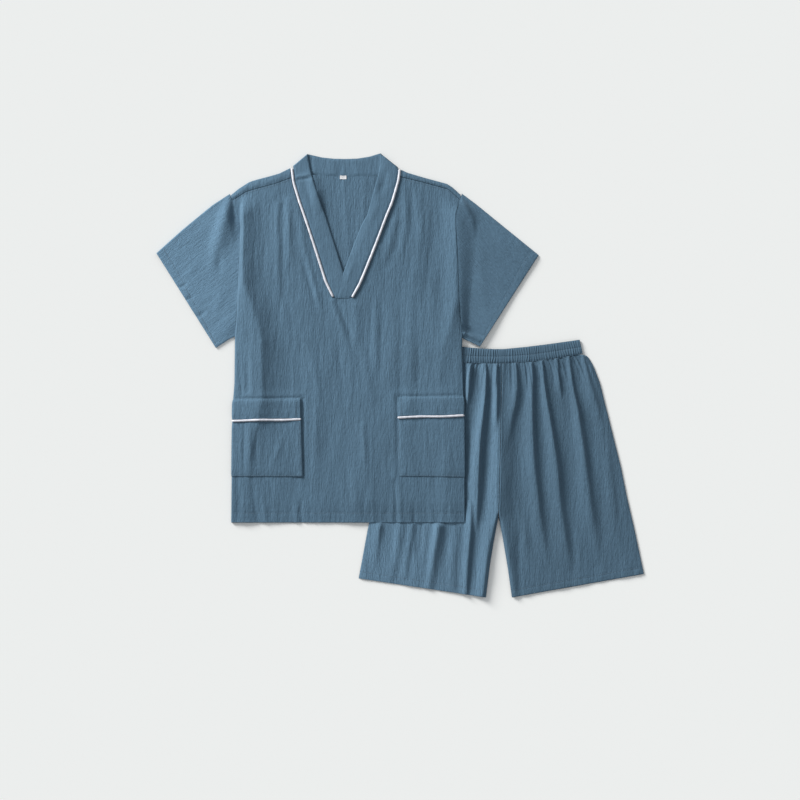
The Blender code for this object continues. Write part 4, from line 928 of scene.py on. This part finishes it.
def pocket(side, x_in, bottom, pipe, top, seed):
    """x_in gives the inner edge at the foot and the top; bottom, pipe and top give the height at the outer
    and the inner edge of the pocket."""
    s = np.concatenate([[0, 0.004, 0.010, 0.018, 0.028], np.linspace(0.04, 0.985, 66), [0.992, 0.997, 1.0]])
    inwards = 1 if side == "left" else -1
    edge_stands = 1.9 if side == "left" else 0.0

    def outer_x(y):
        return crossing(side_left if side == "left" else side_right, y) + 0.9 * inwards

    for name, low, high, above, puff in (("body", bottom, pipe, 1.5, 0.5), ("cuff", pipe, top, 1.9, 0.9)):
        middle = np.linspace(0.05, 0.95, 52 if name == "body" else 22)
        t = np.concatenate([[0, 0.006, 0.015, 0.03], middle, [0.97, 0.985, 0.994, 1]])[:, None]
        # The piping's cord fills the 4 mm between the two parts.
        low_y = (low[0] + (low[1] - low[0]) * s + (2.0 if name == "cuff" else 0.0))[None]
        high_y = (high[0] + (high[1] - high[0]) * s - (2.0 if name == "body" else 0.0))[None]
        y = low_y + (high_y - low_y) * t
        inner_x = x_in[0] + (x_in[1] - x_in[0]) * (y - bottom[0]) / (top[0] - bottom[0])
        x = outer_x(y) + (inner_x - outer_x(y)) * s[None]
        from_inner = np.abs(x - inner_x)
        edge = np.clip(np.minimum(np.minimum(y - low_y, high_y - y), from_inner), 0, 50)
        if name == "body":
            from_edge = np.minimum(y - low_y, from_inner)
            stitched = -0.35 * bell(from_edge - 2.2, 1.0)
            pucker = np.exp(-np.abs(from_edge - 3) / 7) * 0.35 * unevenness(x, y, 6, 6, seed)
            eased = 1.0
        else:
            stitched = -0.9 * bell(from_inner - 9.0, 1.3) - 0.35 * bell(high_y - y - 2.0, 1.0)
            pucker = np.exp(-np.abs(y - low_y) / 12) * 0.55 * unevenness(x, y, 7, 40, seed + 1)
            eased = np.clip(0.1 + (high_y - y) / 6.0, 0, 1)
        if side == "right":
            eased = eased * np.clip(0.1 + from_inner / 6.0, 0, 1)
        raise_by = above * np.clip(0.25 + edge / 1.3, 0, 1) * eased + stitched + pucker * smooth(edge / 3)
        raise_by += edge_stands * (1 - smooth(from_inner / 30))
        waves = ripples(x, y, (0.28, 17, 60, seed + 2), (0.16, 6.5, 28, seed + 3))
        raise_by += smooth(edge / 14) * (puff + waves)
        surface, raised = on_front(x, y, 0.0), on_front(x, y, 1.0)
        points = surface + (raised - surface) * raise_by[..., None]
        piece = cloth_sheet(f"pocket_{name}_{side}_cloth", points, flip=side == "right")
        dress(piece, blue, "cloth", f"pocket_{name}_{side}")
        if name == "body":
            line = [(x_in[1] - 2.2 * inwards, high[1] - 5), (x_in[0] - 2.2 * inwards, low[1] + 2.4),
                    (outer_x(low[0]) + 4 * inwards, low[0] + 2.4)]
        else:
            line = [(x_in[1] - 9.0 * inwards, high[1] - 3), (x_in[1] - 9.0 * inwards, low[1] + 3)]
        sew(f"pocket_{name}_stitches_{side}", line, points)
    s = np.linspace(0.0, 1.0, 120)
    y = pipe[0] + (pipe[1] - pipe[0]) * s + 0.5 * np.sin(s * 9 + seed)
    x = outer_x(y) + (x_in[0] + (x_in[1] - x_in[0]) * 0.7 - outer_x(y)) * s
    bead(f"pocket_cord_{side}", on_front(x, y, 2.3), 2.4, seed, f"pocket_piping_{side}")


pocket("left", (-205.4, -209.6), (-212.8, -212.8), (-95.4, -92.6), (-48.5, -46.6), 61)
pocket("right", (-3.9, -6.4), (-213.6, -211.9), (-84.8, -88.4), (-42.0, -44.0), 71)


# The shorts' legs.
# Each front leg hangs from the waistband in gathers that spread and fade towards the hem; each back leg lies
# flat under it.
LEG_CREASES = {
    "right": [
        crease([(515, 356), (516.5, 372), (517, 388), (515.5, 402), (511, 425), (508, 445)], [5, 8, 11, 11,
               10, 9], [2.4, 4.6, 5.6, 4.4, 1.6, 0], [0.26, 0.34, 0.5]),
        crease([(531, 356), (532.5, 372), (532.5, 390), (532, 410), (532.5, 435), (534, 465), (538, 505),
               (543, 540), (548, 570)], [5, 8, 11, 14, 17, 19, 18, 16, 14], [2.4, 4.8, 6.2, 6.6, 6.8, 6.2,
               4.8, 2.6, 0], [0.26, 0.3, 0.4, 0.55]),
        crease([(542, 356), (543, 372), (545, 390), (548.5, 410), (552.5, 435), (557, 465), (560, 505),
               (565, 540), (571, 572)], [4.5, 6, 9, 13, 16, 18, 18, 16, 14], [2.4, 4.6, 6.2, 6.8, 7.2, 7,
               5.6, 3.0, 0], [0.3, 0.3, 0.4, 0.55]),
        crease([(557, 355), (557.5, 366), (559, 380), (562, 400)], [4.5, 6, 7, 7], [2.2, 3.8, 3.4, 0], 0.3),
        crease([(569, 355), (570.5, 370), (573, 388), (577.5, 408), (581.5, 435), (585.5, 465), (590, 505),
               (596, 540), (601, 565)], [4.5, 7, 11, 13, 16, 19, 19, 17, 14], [2.2, 4.4, 6, 6.4, 6.6, 6,
               4.6, 2.2, 0], [0.28, 0.32, 0.42, 0.6]),
        crease([(583, 356), (586, 370), (591, 388), (597, 408), (603, 435)], [5, 8, 11, 12, 11], [1.8, 3.4,
               3.8, 2.6, 0], 0.6),
        crease([(604, 420), (609, 470), (615, 520), (619, 560)], [12, 13, 13, 12], [0, 2.2, 2.2, 0], 0.7),
        crease([(523, 505), (526, 540), (530, 575)], [9, 10, 9], [0, 2, 0]),
        crease([(518, 530), (518.5, 560), (520, 594)], [7, 8, 8], [0, -2.4, -2])
    ],
    "left": [
        crease([(470.5, 358), (470, 375), (468, 395), (464, 420)], [6, 9, 10, 9], [2.6, 5.2, 4.6, 0], 0.35),
        crease([(485.5, 356), (486, 372), (485.5, 390), (483.5, 412), (480, 440), (478.5, 470),
               (477.5, 505), (476, 535)], [5, 7, 9, 12, 15, 16, 13, 11], [2.6, 5.4, 6.8, 7.4, 7.6, 6.6, 4.2,
               0], [0.3, 0.32, 0.26, 0.3]),
        crease([(497, 356), (497.5, 372), (497, 390), (496.5, 410), (496, 432)], [5, 7, 8, 8, 8], [2.4, 5,
               5.6, 4.4, 0], 0.32),
        crease([(439.5, 508), (437.5, 530), (434, 552), (430.5, 575), (428, 592)], [7, 8, 8, 8, 7], [6.4,
               6.6, 5.2, 3.4, 1.4], [1.6, 1.4, 1.2]),
        crease([(421, 515), (419, 540), (417, 562)], [7, 7, 6], [-3, -2.4, 0]),
        crease([(471, 505), (470.5, 530), (468, 560), (466, 594)], [9, 10, 10, 9], [2, 4.4, 4.6, 2.6], 0.4),
        crease([(489, 520), (487.5, 545), (485, 570), (482, 594)], [13, 13, 13, 12], [0, 2.4, 3.4, 3], 0.5),
        crease([(381, 518), (378.5, 535), (376, 555), (373, 575)], [10, 11, 10, 9], [3.4, 2.8, 1.2, 0],
               0.5),
        crease([(401, 518), (397, 545), (392, 575)], [10, 10, 9], [2, 2.4, 1.4]),
        crease([(413, 518), (409, 545), (405, 575)], [9, 9, 9], [1.6, 2, 1.2], 0.6),
        crease([(457, 520), (453, 550), (451, 585)], [9, 9, 9], [0.6, 1.8, 1.4])
    ]}
# The middle seam lies on a ridge: its height down the picture, and how far it reaches into each leg.
RIDGE_ROWS, RIDGE_HEIGHTS = [357, 385, 410, 440, 480, 510, 550, 600], [0, 1.2, 4.0, 7.6, 9.4, 8.4, 5.4, 3.2]
RIDGE_REACH = {"left": 32, "right": 42}
# The felled seam shows as one fine edge in each leg, this far from the middle.
FELLED_EDGE = {"left": 4.8, "right": 2.2}
LEG_WIDTH, LEG_LENGTH, LEG_HEM = 250, 500.0, 14.0


def leg_height(x, y, u, v, side):
    """Middle of a front leg's cloth, u from the middle seam to the side and v from the hem up."""
    joined = smooth((y + 306) / 30)
    from_edge = np.clip(np.minimum(u / 0.03 + joined, (1 - u) / 0.05), 0, 1)
    roll = np.sqrt(1 - (1 - from_edge) ** 2)
    felled = np.where(v < 0.32, 0.3, 1.0) * 0.9 * bell(u * LEG_WIDTH - FELLED_EDGE[side], 1.2)
    folds = 1.34 * creases(x, y, LEG_CREASES[side]) + felled
    ridge = down_the_picture(y, RIDGE_ROWS, RIDGE_HEIGHTS) * (1 - smooth(u * 270 / RIDGE_REACH[side]))
    waves = ripples(x, y, (0.9, 34, 150, 81, 0.08), (0.6, 15, 90, 82, -0.04), (0.28, 7.5, 50, 83, 0.06),
                    (0.12, 4.5, 30, 84, -0.05))
    hem = np.clip(v * LEG_LENGTH, 0, LEG_LENGTH) - LEG_HEM
    puckers = np.exp(-np.abs(hem) / 10) * ripples(x, y, (0.5, 6, 50, 85), (0.35, 12, 50, 86))
    turned = 0.15 * smooth(-hem / 1.5 + 0.5) - 0.4 * bell(hem, 1.7)
    run = 262 * u * (1 if side == "right" else -1)
    gathers = smooth((v - 0.80) / 0.17) * ripples(run, y, (1.5, 5.6, 110, 87), (0.9, 3.4, 70, 88))
    inner = smooth(from_edge * 1.2)
    height = (2.1 + (1.3 + 0.9 * v) * roll + (folds + waves + puckers + gathers) * inner + turned * inner
              + ridge * (0.35 + 0.65 * inner))
    # What lies under the top is pressed flatter.
    hidden = (1 - smooth((x - 133) / 10)) * smooth((y + 318) / 12)
    pressed = FLAT + 2.2 * (1 - np.exp(-np.clip(height - FLAT, 0, None) / 2.2))
    height = np.minimum(height, 5.7 + 0.7 * (1 - v) * 450)
    return np.maximum(height * (1 - hidden) + pressed * hidden, FLAT)


waist_bottom = path([(39.6, 45.4), (87.6, 33), (132.5, 26), (209, 25.8), (275.1, 28.8), (335.4, 37.8),
                     (383.0, 46.4)], 0.02)
waist_top = path([(45, 70), (87, 62), (131.5, 59), (164.6, 55.9), (194.7, 54.4), (216.9, 54.4), (265.2, 59),
                  (315.4, 65.3), (376.7, 74.1)], 0.02)
outseam = [(384.4, 43.0), (393.8, 39.5), (405.7, 18.7), (419.4, -17.4), (425.7, -43.5), (438.3, -93.9),
           (450.9, -144.3), (463.5, -194.7), (476.1, -257.7), (490.8, -320.7), (511.4, -417.1)]
leg_blue = cotton_material("blue_cotton_legs", shade(0.92))
leg_us = columns_between(LEG_WIDTH, 2.2)
leg_up = np.concatenate([[0, 0.0008, 0.002, 0.004], np.linspace(0.008, 1, 226)])


def shorts_leg(side, inner, outer, hem):
    front_side, front_middle, bottom = path(outer[::-1], 0.015), path(inner, 0.015), path(hem)
    top_left, top_right = inner[-1], outer[0]

    def waist(t):
        x = top_left[0] + (top_right[0] - top_left[0]) * t
        line = waist_bottom(np.linspace(0, 1, 300))
        y = np.interp(x, line[:, 0], line[:, 1]) - 0.8
        fit = smooth((t - 0.9) / 0.1)
        return np.stack([x, y * (1 - fit) + top_right[1] * fit], -1)

    places = patch(bottom, waist, front_middle, front_side, leg_us, leg_up)
    x, y = places[..., 0], places[..., 1]
    u, v = np.broadcast_to(leg_us[None], x.shape), np.broadcast_to(leg_up[:, None], x.shape)
    z = leg_height(x, y, u, v, side)
    z[:4] -= np.array([1.1, 0.5, 0.2, 0])[:, None]
    points = np.stack([x, y, z], -1)
    piece = cloth_sheet(f"shorts_leg_{side}", points, flip=side == "left")
    dress(piece, leg_blue, "cloth", f"shorts_front_{side}")
    if side == "left":
        low_lit.objects.link(piece)
    row = int(np.argmin(np.abs(leg_up - LEG_HEM / LEG_LENGTH)))
    sew(f"leg_stitches_{side}", points[row, 4:-4, :2], points[row - 3:row + 4])
    under_us, under_vs = np.linspace(0.003, 0.997, 60), np.linspace(0.001, 1, 90)
    under = patch(bottom, waist, front_middle, front_side, under_us, under_vs)
    x, y = under[..., 0], under[..., 1]
    z = 0.7 + 0.25 * (1 + unevenness(x, y, 20, 60, 89)) * smooth((y + 440) / 60)
    piece = cloth_sheet(f"shorts_leg_back_{side}", np.stack([x, y, z], -1), flip=side == "right")
    dress(piece, leg_blue, "cloth", f"shorts_back_{side}")


shorts_leg("right", [(234.2, -466.4), (226.2, -408.9), (215.7, -345.9), (206.6, -299), (214.0, 25.0)],
           outseam, [(234.2, -466.4), (511.4, -417.1)])
shorts_leg("left", [(179.8, -466.4), (188.4, -396.3), (196.8, -345.9), (205.5, -299), (213.2, 25.0)],
           [(423 - px, py) for px, py in outseam[:-1]] + [(-87.4, -426.4)],
           [(179.8, -466.4), (-87.4, -426.4)])


# The waistband.
# A ring of elastic in a cloth casing: fine upright gathers all round, deeper at the edges, and a stitched
# line along its middle.
RIBS, STITCHED_SHARE = 66, 0.47
along = np.linspace(0, 1, RIBS * 9 + 1)
rows_across = np.concatenate([[-0.02, 0.0, 0.03], np.linspace(0.07, 0.93, 26), [0.97, 1.0, 1.02]])


def rib(t, share, shift):
    """Height of the gathers at a share along the band, drifting a little between its edges."""
    run = t * RIBS + 0.35 * unevenness(t * 300, share * 30, 9, 14, 92 + shift)
    wave = 0.5 - 0.5 * np.cos(2 * math.pi * (run - np.floor(run).astype(int)))
    deep = 0.55 + 0.45 * unevenness(t * 340, share * 30, 4.5, 22, 95 + shift)
    # Above the middle seam of the shorts the casing is joined and lies smooth.
    plain = np.exp(-(((t - 0.506) * 344 / 6.5) ** 4))
    return wave ** 1.3 * deep * (1 - plain) + 0.5 * plain


def band_side(ts, z_mid, facing, shift):
    low, high = waist_bottom(0.006 + 0.988 * ts)[None], waist_top(0.006 + 0.988 * ts)[None]
    share = rows_across[:, None]
    place = low * (1 - share[..., None]) + high * share[..., None]
    from_middle = np.abs(2 * share - 1)
    groove = bell(share - STITCHED_SHARE, 0.035) + 0.36 * bell(share - 0.06, 0.03)
    puff = 1.5 * (1 - np.abs(2 * np.clip(share, 0, 1) - 1) ** 5)
    double = 0.5 * np.sin(np.pi * np.clip(share / STITCHED_SHARE, 0, 1)) ** 0.7 + 0.5 * np.sin(
        np.pi * np.clip((share - STITCHED_SHARE) / (1 - STITCHED_SHARE), 0, 1)) ** 0.7
    height = (1.15 + 0.45 * from_middle) * rib(ts[None], share, shift)
    height = height + 0.7 * double + puff * 0.35 - 0.45 * groove
    height = height * np.clip(1.2 - from_middle ** 14, 0.15, 1)
    return np.concatenate([place, (z_mid + facing * height)[..., None]], -1)


def band_turn(start, end, way):
    """Columns of the turn from one layer of the ring to the other."""
    columns = []
    for angle in math.pi * np.arange(1, 9) / 9:
        column = (start + end) / 2 + (start - end) / 2 * math.cos(angle)
        column[:, 0] += way * 1.9 * math.sin(angle)
        columns.append(column)
    return np.stack(columns, 1)


front_band = band_side(along, 4.5, 1, 0)
back_band = band_side(along[::-4], 1.35, -1, 7)
back_band[..., 2] = np.maximum(back_band[..., 2], 0.15)
ring = [front_band, band_turn(front_band[:, -1], back_band[:, 0], 1),
        back_band, band_turn(back_band[:, -1], front_band[:, 0], -1)]
piece = cloth_sheet("elastic_waistband", np.concatenate(ring, 1), around=True)
dress(piece, cotton_material("blue_cotton_waistband", shade(0.88), 0.0, 0.35), "waistband", "waistband")
sew("waistband_stitches", front_band[14, 8:-8, :2], front_band[12:17], 2.9, 2.1, 0.3)
